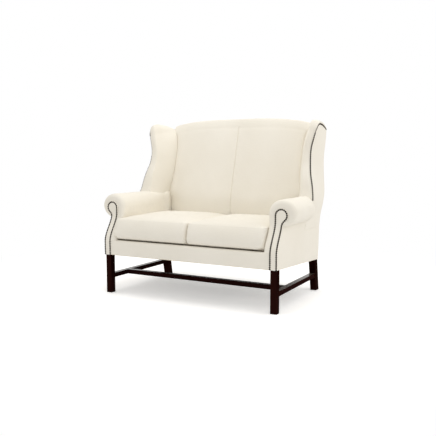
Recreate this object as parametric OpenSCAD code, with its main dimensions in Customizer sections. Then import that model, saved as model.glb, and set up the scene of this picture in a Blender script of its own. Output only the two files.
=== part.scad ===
// High back settee: two seats, scroll arms, shaped wings, dark legs joined by stretchers.
// Origin: floor level, middle of the width and of the depth. +X is the right arm when
// the settee is seen from the front, +Y runs from the front to the back, +Z is up.
// Inside this file depth is measured from the front faces of the front legs.

/* [Overall] */
// Width over the legs and the outside arms
body_w = 1188; // [1150:1:1300]
// Depth from the front legs to the outside back, taken at floor level
body_d = 695; // [680:1:730]
// Height of the crest in the middle of the back
back_h = 1135; // [1110:1:1170]
// Fall of the seat frame towards the rear and lean of the back, in degrees
tilt = 3.5; // [2.5:0.5:4.5]

/* [Legs and stretchers] */
// Side of the square legs
leg_w = 40; // [36:1:46]
// Height of the front legs below the upholstery
leg_h = 248; // [230:1:262]
// Depth of the rear legs at the top
rear_leg_top_d = 60; // [54:1:64]
// Depth of the rear legs at the foot
rear_leg_foot_d = 50; // [44:1:54]
// How far the backs of the rear feet stand behind the backs of the rear legs' tops
leg_rake = 37; // [25:1:42]
// Thickness of the stretchers
stretcher_t = 33; // [26:1:35]
// Height of the stretchers' section
stretcher_h = 29; // [22:1:34]
// Height of the underside of the side stretchers at the front legs
stretcher_z = 95; // [80:1:120]
// Fall of the side stretchers from front to rear
stretcher_fall = 5; // [0:1:30]
// Depth at which the cross stretcher joins the side stretchers
cross_y = 182; // [150:1:330]

/* [Seat] */
// Height of the front border, from the front legs to the seat platform
border_h = 97; // [90:1:104]
// Height of the seat cushions' front border, up to its seam
cushion_h = 135; // [120:1:145]
// Rise of the cushions' crown above the seam
crown_h = 28; // [15:1:34]
// Thickness of the padded back above the seat, with the outside cloth
back_depth = 122; // [114:1:136]

/* [Arms] */
// Height of the top of the arm rolls
arm_h = 636; // [625:1:645]
// Radius of the arm rolls
roll_r = 78; // [72:1:80]
// Width from the middle of the settee to the inside of an arm
arm_in = 512; // [500:1:516]
// How far the scroll stands behind the foot of the facing
scroll_back = 75; // [60:1:85]
// Radius of the facing's round head
head_r = 39; // [37:1:41]

/* [Wings and back] */
// How far the wings' highest points stand below the crest
wing_drop = 43; // [35:1:55]
// Furthest that the wings stand out beyond the body
wing_flare = 51; // [35:1:60]
// How far the wing's top stands behind its foot
wing_back = 170; // [150:1:180]
// How far the wings reach in front of the outside back where they rise from the arms
wing_reach = 286; // [271:1:301]
// Fall of the crest from its middle to the wings
crest_fall = 40; // [25:1:50]

/* [Nails] */
// Diameter of the nail heads
nail_d = 10; // [7:0.5:10.5]
// Distance from one nail to the next
nail_pitch = 11.5; // [11:0.5:16]

/* [Hidden] */

// Colours
fabric = [0.95, 0.92, 0.85];
polished = [0.11, 0.03, 0.02];
beech = [0.80, 0.64, 0.44];
canvas = [0.72, 0.66, 0.54];
antique = [0.29, 0.25, 0.22];
lining = [0.16, 0.15, 0.15];

// Roundness of the turned and bored shapes, and the angle from point to point of an arc
round_steps = 48;
arc_step = 15;
// One overrun for all cuts
over = 5;
// Smallest clearance between a loose cushion and its neighbours
rest_gap = 0.3;
// Gap between padded pieces that press against each other
pad_gap = 0.15;

half_w = body_w / 2;
deck_h = leg_h + border_h;
seat_h = deck_h + cushion_h;
wing_h = back_h - wing_drop;
// Thickness of the outside cloth with its wadding
cover_t = 3;

// Leg joinery
dowel_r = 10;
dowel_l = 40;
dowel_play = 0.15;
tenon_t = 9;
tenon_h = 18;
tenon_l = 22;
tenon_play = 0.15;
leg_chamfer = 1.5;
// How far the backs of the rear legs' tops stand inside the frame's back
rear_leg_inset = 9;

// Seat frame
rail_t = 25;
webbing_t = 2;
webbing_w = 50;
platform_t = 10;
centre_rail_h_share = 0.52;
rail_top = deck_h - platform_t - 2 * webbing_t;
block_leg = 65;
block_h = 50;
block_drop = 10;
centre_rail_t = 30;
stump_d = 40;
long_strap_count = 9;
cross_strap_count = 6;
strap_margin = 35;
dust_t = 1.2;

// Arm
facing_t = 10;
facing_bed = 4;
facing_d = facing_t + facing_bed;
facing_proud = 3;
facing_low_y = -9;
facing_over = 3;
neck_r = 34;
head_drop = 10;
scroll_inset = 5;
scroll_x = half_w - scroll_inset;
scroll_z = arm_h - roll_r;
// Height of the middle of the facing's round head
head_z = scroll_z - head_drop;
rim_r = 32;
block_r = 50;
scroll_block_t = 22;
arm_board_w = 90;
arm_board_t = 22;
curve_foot_drop = 10;
curve_head_drop = 43;
curve_steps = 20;
roll_front_y = facing_low_y + scroll_back + facing_t;
roll_seat_y = roll_front_y + facing_bed;
roll_tuck = 1;
roll_cut_x = half_w - cover_t - roll_tuck;
inside_arm_t = 18;
corner_r = 16;

// Back frame
post_foot_d = 56;
post_d = 34;
post_taper_h = 215;
post_top_drop = 95;
back_rail_d = 22;
crest_roll_h = 70;
crest_lip = 22;
crest_shoulder = 35;
top_rail_h = 75;
tack_rail_h = 40;
tack_rail_rise = 20;
stile_w = 40;
back_strap_count = 8;
crest_power = 4;
lumbar_rise = 245;
back_rake_share = 0.265;
lumbar_blend = 30;
lobe_depth = 8;
wing_tuck = 25;

// Wing
wing_foot_drop = 128;
wing_foot_z = scroll_z - wing_foot_drop;
wing_rear_drop = 34;
wing_shoulder_drop = 47;
wing_arch = 44;
wing_arch_out = 10;
wing_arch_power = 10;
wing_lip = 4;
wing_bulge = 9;
wing_skin = 14;
wing_dome = 8;
upright_t = 22;
upright_d = 45;
wing_pad_foot_z = scroll_z + arm_board_t / 2 + rest_gap;
panel_slack = 0.8;

// Cushion
cushion_front_lean = 27;
cushion_front_y = -2;
cushion_out = 1.5;
cushion_gap = 1;
cushion_bulge = 3;
cushion_corner_power = 10;
cushion_sides = 44;
cushion_edge_r = 9;

// Nail heads
nail_h = 2.2;
nail_top_share = 0.6;
nail_inset = 4.5;
nail_lift = 0.6;
nail_foot_gap = 6;
nail_steps = 16;
line_steps = 30;

// Height shares along the wing and what the front edge does there
wing_out_shares = [[0, 0], [0.06, 0.12], [0.12, 0.47], [0.19, 0.9], [0.27, 1], [0.335, 0.82],
    [0.415, 0.65], [0.48, 0.43], [0.545, 0.22], [0.607, 0.06], [0.7, -0.04], [0.764, 0.02],
    [0.87, 0.35], [0.92, 0.52], [0.95, 0.6], [1, 0.7]];
wing_reach_shares = [[0, 0], [0.24, 0], [0.27, 0.02], [0.3, 0.08], [0.335, 0.15], [0.415, 0.21],
    [0.48, 0.265], [0.545, 0.365], [0.607, 0.49], [0.7, 0.576], [0.764, 0.606],
    [0.87, 0.647], [0.92, 0.69], [1, 0.73]];
wing_rear_shares = [[0, 0], [0.106, 0.1], [0.234, 0.45], [0.34, 0.55], [0.46, 0.43],
    [0.58, 0.31], [0.7, 0.29], [0.82, 0.45], [1, 0.51]];
wing_top_shares = [[0, 0], [0.05, 0.55], [0.12, 0.88], [0.25, 1], [0.5, 0.82], [0.8, 0.39], [1, 0]];
// Thickness of the wing's front roll
wing_roll_t = 48;
wing_thick_shares = [[0.2, 1.9], [0.27, 1.9], [0.335, 1.72], [0.46, 1.36], [0.6, 1.1],
    [0.7, 1], [0.82, 1], [0.95, 0.92], [1, 0.9]];
// Height shares up the inside back and how far its edge is tucked in behind the arm's line
tuck_shares = [[0, 0.05], [0.3, 0.05], [0.34, 0.28], [0.4, 0.8], [0.5, 1], [0.72, 1],
    [0.83, 0.8], [0.89, 0.28], [0.95, -0.72], [1, -0.72]];

// Heights and depths that several pieces share

function carcass_z(y) = leg_h - y * tan(tilt);
function rear_y(z) = body_d + z * tan(tilt);
function mix(a, b, t) = a + (b - a) * t;
function ease(t) = t <= 0 ? 0 : t >= 1 ? 1 : t * t * (3 - 2 * t);

curve_z0 = deck_h - curve_foot_drop;
curve_z1 = scroll_z - curve_head_drop;
// Front surface of the facing, seen from the side
curve_knots = [for (i = [0:curve_steps])
    [mix(curve_z0, curve_z1, i / curve_steps), facing_low_y + scroll_back * ease(i / curve_steps)]];
function facing_y(z) = lookup(z, curve_knots);
// The heights at which that surface bends, between two ends
function curve_heights(low, high) =
    concat([low], [for (k = curve_knots) if (k[0] > low && k[0] < high) k[0]], [high]);
function facing_slope(z) = (facing_y(z + cover_t) - facing_y(z - cover_t)) / (2 * cover_t);

// Depth of the lowest corner of the carcass's back, or of a layer that far inside it
function carcass_rear_y(inside) =
    (body_d + leg_h * tan(tilt) - inside) / (1 + pow(tan(tilt), 2));
// Back of the wooden frame, just clear of the outside cloth
function frame_rear_y(z) = rear_y(z) - cover_t - pad_gap;
frame_foot_y = carcass_rear_y(cover_t + pad_gap);
rear_rail_y = frame_foot_y - rail_t;
post_foot_y = frame_foot_y - post_foot_d;
back_front_y = rear_y(deck_h) - back_depth;
wing_foot_y = rear_y(wing_foot_z) - wing_reach;
post_taper_z = deck_h + post_taper_h;
post_top_z = back_h - post_top_drop;
function post_front(z) =
    z <= deck_h ? post_foot_y
    : z <= post_taper_z
        ? mix(post_foot_y, frame_rear_y(post_taper_z) - post_d, (z - deck_h) / post_taper_h)
    : frame_rear_y(z) - post_d;

function soft_ramp(d, w) = d <= -w ? 0 : d >= w ? d : pow(d + w, 2) / (4 * w);
function back_face(z) =
    back_front_y + back_rake_share * soft_ramp(z - deck_h - lumbar_rise, lumbar_blend);
function pad_rear(z) = frame_rear_y(z) - back_rail_d - webbing_t;
function back_edge(z) = arm_in - wing_tuck * lookup((z - deck_h) / (back_h - deck_h), tuck_shares);
// The crest falls from its middle to the edges of the inside back
crest_half = back_edge(back_h);
function crest_z(x) = back_h - crest_fall * pow(abs(x) / crest_half, crest_power);

wing_span = wing_h - wing_foot_z;
wing_rear_z = wing_h - wing_rear_drop;
wing_shoulder_z = wing_h - wing_shoulder_drop;
function wing_share(z) = (z - wing_foot_z) / wing_span;
function wing_x(z) = half_w + wing_flare * lookup(wing_share(z), wing_out_shares);
function wing_y(z) = wing_foot_y + wing_back * lookup(wing_share(z), wing_reach_shares);
function wing_rear_x(z) = half_w + wing_flare * lookup(wing_share(z), wing_rear_shares);
function wing_inner_x(z) = wing_x(z) - wing_roll_t * lookup(wing_share(z), wing_thick_shares);

// A point of the wing's outer surface: u from the front edge to the rear, h from foot to top
function wing_point(u, h) =
    let (
        zf = mix(wing_foot_z, wing_shoulder_z, h),
        zr = mix(wing_foot_z, wing_rear_z, h),
        lift = lookup(u, wing_top_shares) * pow(h, wing_arch_power)
    )
    [
        mix(wing_x(zf), wing_rear_x(zr), u) + wing_arch_out * lift,
        mix(wing_y(zf), frame_rear_y(zr), u),
        mix(zf, zr, u) + wing_arch * lift
    ];

// The origin lies at mid-depth, between the lowest nails of the arms and the top of the back
front_y = facing_low_y - nail_lift - nail_h;
crest_rear_y = rear_y(back_h - crest_lip);
mid_y = (front_y + crest_rear_y) / 2;

// Builders

module placed() {
    translate([0, -mid_y, 0]) children();
}

// The part's right-hand piece, or its mirror image
module sided(side) {
    mirror([side < 0 ? 1 : 0, 0, 0]) children();
}

// An outline in depth and height, pulled out across the width
module side_prism(x0, x1, outline) {
    translate([x0, 0, 0])
        rotate([90, 0, 90])
            linear_extrude(x1 - x0)
                polygon(outline);
}

// An outline in width and height, pulled out along the depth
module front_prism(y0, y1) {
    translate([0, y1, 0])
        rotate([90, 0, 0])
            linear_extrude(y1 - y0)
                children();
}

function flat(rows) = [for (row = rows) each row];
function reversed(list) = [for (i = [len(list) - 1:-1:0]) list[i]];
function six_volumes(points, faces) =
    [for (f = faces) points[f[0]] * cross(points[f[1]], points[f[2]])] * [for (f = faces) 1];
function turned(points, faces) =
    six_volumes(points, faces) > 0 ? [for (f = faces) [f[2], f[1], f[0]]] : faces;
function two(a, b, c, d) = [[a, b, c], [a, c, d]];

// A closed solid between two sheets of points that have the same rows and columns
module between(front, back) {
    m = len(front);
    n = len(front[0]);
    k = m * n;
    points = concat(flat(front), flat(back));
    faces = [
        for (i = [0:m - 2], j = [0:n - 2])
            let (a = i * n + j)
                each concat(two(a, a + 1, a + n + 1, a + n),
                            two(k + a, k + a + n, k + a + n + 1, k + a + 1)),
        for (j = [0:n - 2])
            let (t = (m - 1) * n + j)
                each concat(two(k + j, k + j + 1, j + 1, j),
                            two(k + t, t, t + 1, k + t + 1)),
        for (i = [0:m - 2])
            let (a = i * n, b = i * n + n - 1)
                each concat(two(a, a + n, k + a + n, k + a),
                            two(b, k + b, k + b + n, b + n))
    ];
    polyhedron(points, turned(points, faces));
}

// A closed solid from a stack of rings, with a point at each end
module stack(rings, first, last) {
    m = len(rings);
    n = len(rings[0]);
    points = concat(flat(rings), [first, last]);
    faces = [
        for (i = [0:m - 2], j = [0:n - 1])
            let (a = i * n, b = a + n, q = (j + 1) % n)
                each two(a + j, a + q, b + q, b + j),
        for (j = [0:n - 1])
            each [[m * n, (j + 1) % n, j],
                  [m * n + 1, (m - 1) * n + j, (m - 1) * n + (j + 1) % n]]
    ];
    polyhedron(points, turned(points, faces));
}

// Legs and stretchers

stretcher_out = half_w - (leg_w - stretcher_t) / 2;
stretcher_in = stretcher_out - stretcher_t;
rear_leg_back_y = frame_foot_y - rear_leg_inset;
rear_leg_top_y = rear_leg_back_y - rear_leg_top_d;
rear_leg_foot_y = rear_leg_back_y + leg_rake - rear_leg_foot_d;
rear_leg_top_z = carcass_z(rear_leg_top_y);
function rear_leg_front(z) = mix(rear_leg_foot_y, rear_leg_top_y, z / rear_leg_top_z);
function stretcher_under(y) =
    stretcher_z - stretcher_fall * (y - leg_w) / (rear_leg_front(stretcher_z) - leg_w);

module square_bar_outline() {
    c = leg_chamfer;
    polygon([[c, 0], [leg_w - c, 0], [leg_w, c], [leg_w, leg_w - c],
             [leg_w - c, leg_w], [c, leg_w], [0, leg_w - c], [0, c]]);
}

// The tenons at both ends of a side stretcher; play is added all round in the mortises
module side_tenons(play) {
    z_front = stretcher_under(leg_w) + (stretcher_h - tenon_h) / 2;
    y_rear = rear_leg_front(stretcher_z);
    z_rear = stretcher_under(y_rear) + (stretcher_h - tenon_h) / 2;
    x0 = stretcher_in + (stretcher_t - tenon_t) / 2;
    translate([x0 - play, leg_w - tenon_l - play, z_front - play])
        cube([tenon_t + 2 * play, tenon_l + over, tenon_h + 2 * play]);
    translate([x0 - play, y_rear - over, z_rear - play])
        cube([tenon_t + 2 * play, tenon_l + over + play, tenon_h + 2 * play]);
}

module leg_dowel(y, z, play) {
    translate([half_w - leg_w / 2, y, z])
        cylinder(r = dowel_r + play, h = dowel_l + play, $fn = round_steps);
}

front_dowel_y = facing_low_y + facing_d + stump_d / 2;
rear_dowel_y = rear_leg_back_y - leg_w / 2;

module front_leg(side) {
    color(polished) placed() sided(side) {
        difference() {
            translate([half_w - leg_w, 0, 0])
                linear_extrude(leg_h)
                    square_bar_outline();
            side_prism(half_w - leg_w - over, half_w + over,
                [[-over, carcass_z(-over)], [leg_w + over, carcass_z(leg_w + over)],
                 [leg_w + over, leg_h + over], [-over, leg_h + over]]);
            side_tenons(tenon_play);
        }
        intersection() {
            leg_dowel(front_dowel_y, carcass_z(front_dowel_y) - over, over);
            translate([0, 0, carcass_z(front_dowel_y) - over])
                leg_dowel(front_dowel_y, 0, 0);
        }
    }
}

module rear_leg(side) {
    color(polished) placed() sided(side) {
        difference() {
            side_prism(half_w - leg_w, half_w,
                [[rear_leg_foot_y, 0], [rear_leg_foot_y + rear_leg_foot_d, 0],
                 [rear_leg_back_y, carcass_z(rear_leg_back_y)],
                 [rear_leg_top_y, rear_leg_top_z]]);
            side_tenons(tenon_play);
        }
        translate([0, 0, carcass_z(rear_dowel_y) - over])
            leg_dowel(rear_dowel_y, 0, 0);
    }
}

module side_stretcher(side) {
    y0 = leg_w;
    color(polished) placed() sided(side) {
        side_prism(stretcher_in, stretcher_out,
            [[y0, stretcher_under(y0)],
             [rear_leg_front(stretcher_z - stretcher_fall), stretcher_under(rear_leg_front(0))],
             [rear_leg_front(stretcher_z + stretcher_h - stretcher_fall),
              stretcher_under(rear_leg_front(0)) + stretcher_h],
             [y0, stretcher_under(y0) + stretcher_h]]);
        side_tenons(0);
    }
}

module cross_stretcher() {
    color(polished) placed()
        side_prism(-stretcher_in, stretcher_in,
            [for (p = [[0, 0], [1, 0], [1, 1], [0, 1]])
                let (y = cross_y + p[0] * stretcher_t)
                    [y, stretcher_under(y) + p[1] * stretcher_h]]);
}

// Seat frame

rail_front_y = facing_low_y + facing_d;
stump_in = half_w - leg_w;
stump_out = half_w - cover_t;
side_rail_y = rail_front_y + stump_d;

module front_seat_rail() {
    y0 = rail_front_y;
    y1 = y0 + rail_t;
    color(beech) placed()
        side_prism(-stump_in, stump_in,
            [[y0, carcass_z(y0)], [y1, carcass_z(y1)], [y1, rail_top], [y0, rail_top]]);
}

module side_seat_rail(side) {
    y0 = side_rail_y;
    y1 = post_foot_y;
    z1 = rail_top + webbing_t;
    color(beech) placed() sided(side)
        side_prism(stump_out - rail_t, stump_out,
            [[y0, carcass_z(y0)], [y1, carcass_z(y1)], [y1, z1], [y0, z1]]);
}

module rear_seat_rail() {
    y0 = rear_rail_y;
    y1 = frame_foot_y;
    color(beech) placed()
        side_prism(-stump_in, stump_in,
            [[y0, carcass_z(y0)], [y1, carcass_z(y1)],
             [frame_rear_y(rail_top), rail_top], [y0, rail_top]]);
}

module centre_seat_rail() {
    y0 = rail_front_y + rail_t;
    y1 = rear_rail_y;
    z1 = mix(leg_h, rail_top, centre_rail_h_share);
    color(beech) placed()
        side_prism(-centre_rail_t / 2, centre_rail_t / 2,
            [[y0, carcass_z(y0)], [y1, carcass_z(y1)], [y1, z1], [y0, z1]]);
}

module corner_blocks() {
    rail_x = stump_out - rail_t;
    y0 = rail_front_y + rail_t;
    y1 = side_rail_y;
    color(beech) placed()
        for (side = [-1, 1]) {
            sided(side)
                translate([0, 0, rail_top - block_drop - block_h])
                    linear_extrude(block_h)
                        polygon([[rail_x - block_leg, y0], [stump_in, y0], [stump_in, y1],
                                 [rail_x, y1], [rail_x, y1 + block_leg]]);
            sided(side)
                translate([0, 0, rail_top - block_drop - block_h])
                    linear_extrude(block_h)
                        polygon([[rail_x, post_foot_y - block_leg], [rail_x, post_foot_y],
                                 [stump_in, post_foot_y], [stump_in, rear_rail_y],
                                 [rail_x - block_leg, rear_rail_y]]);
        }
}

// Arm frame

board_under = scroll_z - arm_board_t / 2;
board_top = scroll_z + arm_board_t / 2;
board_out = scroll_x + arm_board_w / 2;
board_in = scroll_x - arm_board_w / 2;
board_front_y = roll_seat_y + scroll_block_t;
board_rear_y = post_front(board_under);

module scroll_disc(y0, y1, r) {
    translate([scroll_x, y0, scroll_z])
        rotate([-90, 0, 0])
            cylinder(r = r, h = y1 - y0, $fn = round_steps);
}

module stump_blank() {
    heights = curve_heights(carcass_z(side_rail_y), board_under);
    side_prism(stump_in, stump_out, concat(
        [[rail_front_y, carcass_z(rail_front_y)]],
        [for (z = heights) [facing_y(z) + facing_d + stump_d, z]],
        [for (i = [len(heights) - 1:-1:1]) [facing_y(heights[i]) + facing_d, heights[i]]]));
}

module arm_stump(side) {
    color(beech) placed() sided(side)
        difference() {
            stump_blank();
            scroll_disc(roll_seat_y - over, board_front_y, block_r);
            translate([0, 0, carcass_z(front_dowel_y) - over])
                leg_dowel(front_dowel_y, 0, dowel_play);
        }
}

module scroll_block(side) {
    color(beech) placed() sided(side)
        scroll_disc(roll_seat_y, board_front_y, block_r);
}

module board_blank(front) {
    translate([0, 0, board_under])
        linear_extrude(arm_board_t)
            polygon([[board_in, front], [board_out, front],
                     [board_out, wing_foot_y - arm_board_t], [stump_out, wing_foot_y + arm_board_t],
                     [stump_out, board_rear_y], [board_in, board_rear_y]]);
}

module arm_board(side) {
    color(beech) placed() sided(side) board_blank(board_front_y);
}

// Back frame

// A bar that leans with the back: dy0 and dy1 are its faces in front of the frame's back
module leaning_bar(x0, x1, z0, z1, dy0, dy1) {
    side_prism(x0, x1,
        [[frame_rear_y(z0) - dy0, z0], [frame_rear_y(z0) - dy1, z0],
         [frame_rear_y(z1) - dy1, z1], [frame_rear_y(z1) - dy0, z1]]);
}

module back_post(side) {
    color(beech) placed() sided(side)
        difference() {
            side_prism(stump_in, stump_out,
                [[post_foot_y, carcass_z(post_foot_y)], [frame_foot_y, carcass_z(frame_foot_y)],
                 [frame_rear_y(post_top_z), post_top_z],
                 [post_front(post_top_z), post_top_z],
                 [post_front(post_taper_z), post_taper_z], [post_foot_y, deck_h]]);
            translate([0, 0, carcass_z(rear_dowel_y) - over])
                leg_dowel(rear_dowel_y, 0, dowel_play);
        }
}

back_columns_shares = [-1, -0.93, -0.8, -0.62, -0.42, -0.22, -0.08, -0.02,
    0.02, 0.08, 0.22, 0.42, 0.62, 0.8, 0.93, 1];
back_top_edge = back_edge(back_h) - pad_gap;
top_rail_under = back_h - crest_roll_h - top_rail_h;

module back_top_rail() {
    z1 = back_h - crest_roll_h;
    color(beech) placed()
        intersection() {
            leaning_bar(-stump_in, stump_in, top_rail_under, z1, back_rail_d, 0);
            front_prism(rear_rail_y, rear_y(back_h))
                polygon(concat(
                    [[-stump_in, top_rail_under], [stump_in, top_rail_under],
                     [stump_in, crest_z(crest_half) - crest_roll_h]],
                    [for (u = reversed(back_columns_shares))
                        [u * back_top_edge, crest_z(u * crest_half) - crest_roll_h]],
                    [[-stump_in, crest_z(crest_half) - crest_roll_h]]));
        }
}

tack_under = deck_h + tack_rail_rise;

module back_bottom_rail() {
    color(beech) placed()
        leaning_bar(-stump_in, stump_in, tack_under, tack_under + tack_rail_h, back_rail_d, 0);
}

module back_stile() {
    color(beech) placed()
        leaning_bar(-stile_w / 2, stile_w / 2, tack_under + tack_rail_h, top_rail_under,
            back_rail_d, 0);
}

module back_webbing() {
    step = (2 * stump_in - 2 * strap_margin - webbing_w) / (back_strap_count - 1);
    color(canvas) placed()
        for (i = [0:back_strap_count - 1]) {
            x = -stump_in + strap_margin + i * step;
            leaning_bar(x, x + webbing_w, tack_under + webbing_t,
                top_rail_under + crest_shoulder, back_rail_d + webbing_t, back_rail_d);
        }
}

// Wing frame

// Inside face of the outside wing cloth at a height and depth
function wing_lining_x(z, y) =
    mix(wing_x(z), wing_rear_x(z), (y - wing_y(z)) / (frame_rear_y(z) - wing_y(z)))
    - cover_t - panel_slack;

wing_h_shares = [0, 0.06, 0.13, 0.2, 0.26, 0.31, 0.36, 0.44, 0.52, 0.59, 0.65, 0.7, 0.74,
    0.78, 0.82, 0.86, 0.9, 0.93, 0.96, 0.98, 1];
// The top rail lies between two of those heights
wing_rail_shares = [0.93, 0.96];
wing_rail_heights = [for (h = wing_rail_shares) mix(wing_foot_z, wing_shoulder_z, h)];
// Heights at which the wing's front edge bends, between two ends
function wing_heights(low, high) =
    concat([low],
           [for (h = wing_h_shares)
               let (z = mix(wing_foot_z, wing_shoulder_z, h)) if (z > low && z < high) z],
           [high]);

module wing_upright(side) {
    rows = wing_heights(board_top, wing_rail_heights[1]);
    color(beech) placed() sided(side)
        between(
            [for (z = rows)
                let (y = wing_y(z) + wing_lip, x = wing_lining_x(z, y))
                    [[x - upright_t, y, z], [x, y, z]]],
            [for (z = rows)
                let (y = wing_y(z) + wing_lip + upright_d, x = wing_lining_x(z, y))
                    [[x - upright_t, y, z], [x, y, z]]]);
}

module wing_top_rail(side) {
    rows = wing_rail_heights;
    color(beech) placed() sided(side)
        between(
            [for (z = rows)
                let (y = wing_y(z) + wing_lip + upright_d, x = wing_lining_x(z, y))
                    [[x - upright_t + panel_slack, y + pad_gap, z],
                     [x - panel_slack, y + pad_gap, z]]],
            [for (z = rows)
                [[stump_out - upright_t, post_front(z), z], [stump_out, post_front(z), z]]]);
}

// Webbing, platform and dust cover

module seat_webbing_long() {
    x_in = stump_in - strap_margin;
    step = (2 * x_in - webbing_w) / (long_strap_count - 1);
    y0 = rail_front_y;
    color(canvas) placed()
        for (i = [0:long_strap_count - 1])
            translate([-x_in + i * step, y0, rail_top])
                cube([webbing_w, rear_rail_y + rail_t - y0, webbing_t]);
}

module seat_webbing_cross() {
    y0 = side_rail_y + strap_margin;
    y1 = post_foot_y - strap_margin;
    step = (y1 - y0 - webbing_w) / (cross_strap_count - 1);
    color(canvas) placed()
        for (i = [0:cross_strap_count - 1])
            translate([-stump_out + cover_t, y0 + i * step, rail_top + webbing_t])
                cube([2 * (stump_out - cover_t), webbing_w, webbing_t]);
}

cover_back_y = rail_front_y + rail_t - 2 * cover_t;

module seat_platform() {
    x0 = stump_in - pad_gap;
    x1 = stump_out - pad_gap;
    y0 = cover_back_y;
    y1 = facing_y(deck_h) + facing_d + stump_d + pad_gap;
    y2 = post_foot_y - pad_gap;
    y3 = rear_rail_y + rail_t;
    color(canvas) placed()
        translate([0, 0, deck_h - platform_t])
            linear_extrude(platform_t)
                polygon([[-x0, y0], [x0, y0], [x0, y1], [x1, y1], [x1, y2], [x0, y2], [x0, y3],
                         [-x0, y3], [-x0, y2], [-x1, y2], [-x1, y1], [-x0, y1]]);
}

module dust_cover() {
    x = stump_in - pad_gap;
    y0 = rail_front_y;
    y1 = rear_rail_y + rail_t / 2;
    color(lining) placed()
        side_prism(-x, x,
            [[y0, carcass_z(y0) - dust_t], [y1, carcass_z(y1) - dust_t],
             [y1, carcass_z(y1)], [y0, carcass_z(y0)]]);
}

// Front border and arms

facing_in = scroll_x - head_r;
facing_out = half_w + facing_over;
facing_foot_z = carcass_z(0);

module front_rail_cover() {
    y0 = facing_low_y + facing_proud;
    r = corner_r;
    color(fabric) placed()
        side_prism(-facing_in + pad_gap, facing_in - pad_gap, concat(
            [[rail_front_y, carcass_z(rail_front_y)], [y0, carcass_z(y0)]],
            [for (a = [0:arc_step:90]) [y0 + r - r * cos(a), deck_h - r + r * sin(a)]],
            [[cover_back_y, deck_h], [cover_back_y, rail_top + webbing_t],
             [rail_front_y, rail_top + webbing_t]]));
}

// Keyhole outline of a facing; inset draws the line that its nails follow
neck_x = facing_out + neck_r;
neck_z = head_z - sqrt(pow(head_r + neck_r, 2) - pow(neck_x - scroll_x, 2));
neck_angle = acos((neck_x - scroll_x) / (head_r + neck_r));

module facing_outline() {
    translate([facing_in, 0])
        square([facing_out - facing_in, head_z]);
    translate([scroll_x, head_z])
        circle(r = head_r, $fn = round_steps);
    difference() {
        polygon([[facing_in, neck_z], [neck_x, neck_z], [scroll_x, head_z]]);
        translate([neck_x, neck_z])
            circle(r = neck_r, $fn = round_steps);
    }
}

module arm_facing(side) {
    heights = curve_heights(facing_foot_z, head_z + head_r + over);
    color(fabric) placed() sided(side)
        intersection() {
            front_prism(facing_low_y - over, roll_front_y)
                facing_outline();
            side_prism(facing_in - over, facing_out + head_r, concat(
                [for (z = heights) [facing_y(z), z]],
                [for (z = reversed(heights)) [facing_y(z) + facing_d, z]]));
        }
}

roll_rear_y = post_front(scroll_z - roll_r);

module roll_blank() {
    length = roll_rear_y - roll_front_y;
    translate([scroll_x, roll_front_y, scroll_z])
        rotate([-90, 0, 0])
            rotate_extrude($fn = round_steps)
                polygon(concat(
                    [[0, 0]],
                    [for (a = [0:arc_step:90])
                        [roll_r - rim_r + rim_r * sin(a), rim_r - rim_r * cos(a)]],
                    [[roll_r, length], [0, length]]));
}

module arm_roll(side) {
    color(fabric) placed() sided(side)
        difference() {
            roll_blank();
            scroll_disc(roll_seat_y, board_front_y + over, block_r);
            board_blank(board_front_y);
            stump_blank();
            translate([roll_cut_x, wing_foot_y, scroll_z - roll_r - over])
                cube([2 * roll_r, roll_rear_y, 2 * (roll_r + over)]);
        }
}

corner_steps = 4;
inside_arm_shares = [0.3, 0.6, 1];

// The cloth runs round the front corner of the arm, then back along its inside
module inside_arm(side) {
    rows = curve_heights(deck_h, scroll_z);
    x0 = facing_in - pad_gap;
    x1 = arm_in + inside_arm_t;
    color(fabric) placed() sided(side)
        difference() {
            between(
                [for (z = rows)
                    let (y = facing_y(z) + facing_proud)
                        concat(
                            [[x0, y, z]],
                            [for (i = [0:corner_steps])
                                let (a = 90 * i / corner_steps)
                                    [arm_in + corner_r - corner_r * sin(a),
                                     y + corner_r - corner_r * cos(a), z]],
                            [for (s = inside_arm_shares) [arm_in, mix(y, post_foot_y, s), z]])],
                [for (z = rows)
                    let (y = facing_y(z) + facing_d)
                        concat(
                            [for (i = [0:corner_steps + 1])
                                [x0, y + stump_d * i / (corner_steps + 1), z]],
                            [for (s = inside_arm_shares) [x1, mix(y, post_foot_y, s), z]])]);
            scroll_disc(facing_low_y, board_rear_y, roll_r);
        }
}

module outside_arm(side) {
    z0 = carcass_z(rail_front_y);
    roll_under = scroll_z - roll_r;
    color(fabric) placed() sided(side)
        side_prism(stump_out, half_w, concat(
            [[frame_foot_y, carcass_z(frame_foot_y)], [frame_rear_y(wing_foot_z), wing_foot_z],
             [wing_foot_y, wing_foot_z], [wing_foot_y, roll_under]],
            [for (z = reversed(curve_heights(z0, roll_under))) [facing_y(z) + facing_d, z]]));
}

// Outside wing, outside back

wing_u_shares = [0, 0.03, 0.06, 0.1, 0.15, 0.2, 0.27, 0.42, 0.6, 0.8, 1];

wing_sheet = [for (h = wing_h_shares) [for (u = wing_u_shares) wing_point(u, h)]];

module outside_wing(side) {
    color(fabric) placed() sided(side)
        between(wing_sheet, [for (row = wing_sheet) [for (p = row) p - [cover_t, 0, 0]]]);
}

// Number of the interval of a rising list that holds a value
function interval(list, value, i = 0) =
    i == len(list) - 2 || value < list[i + 1] ? i : interval(list, value, i + 1);

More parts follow.
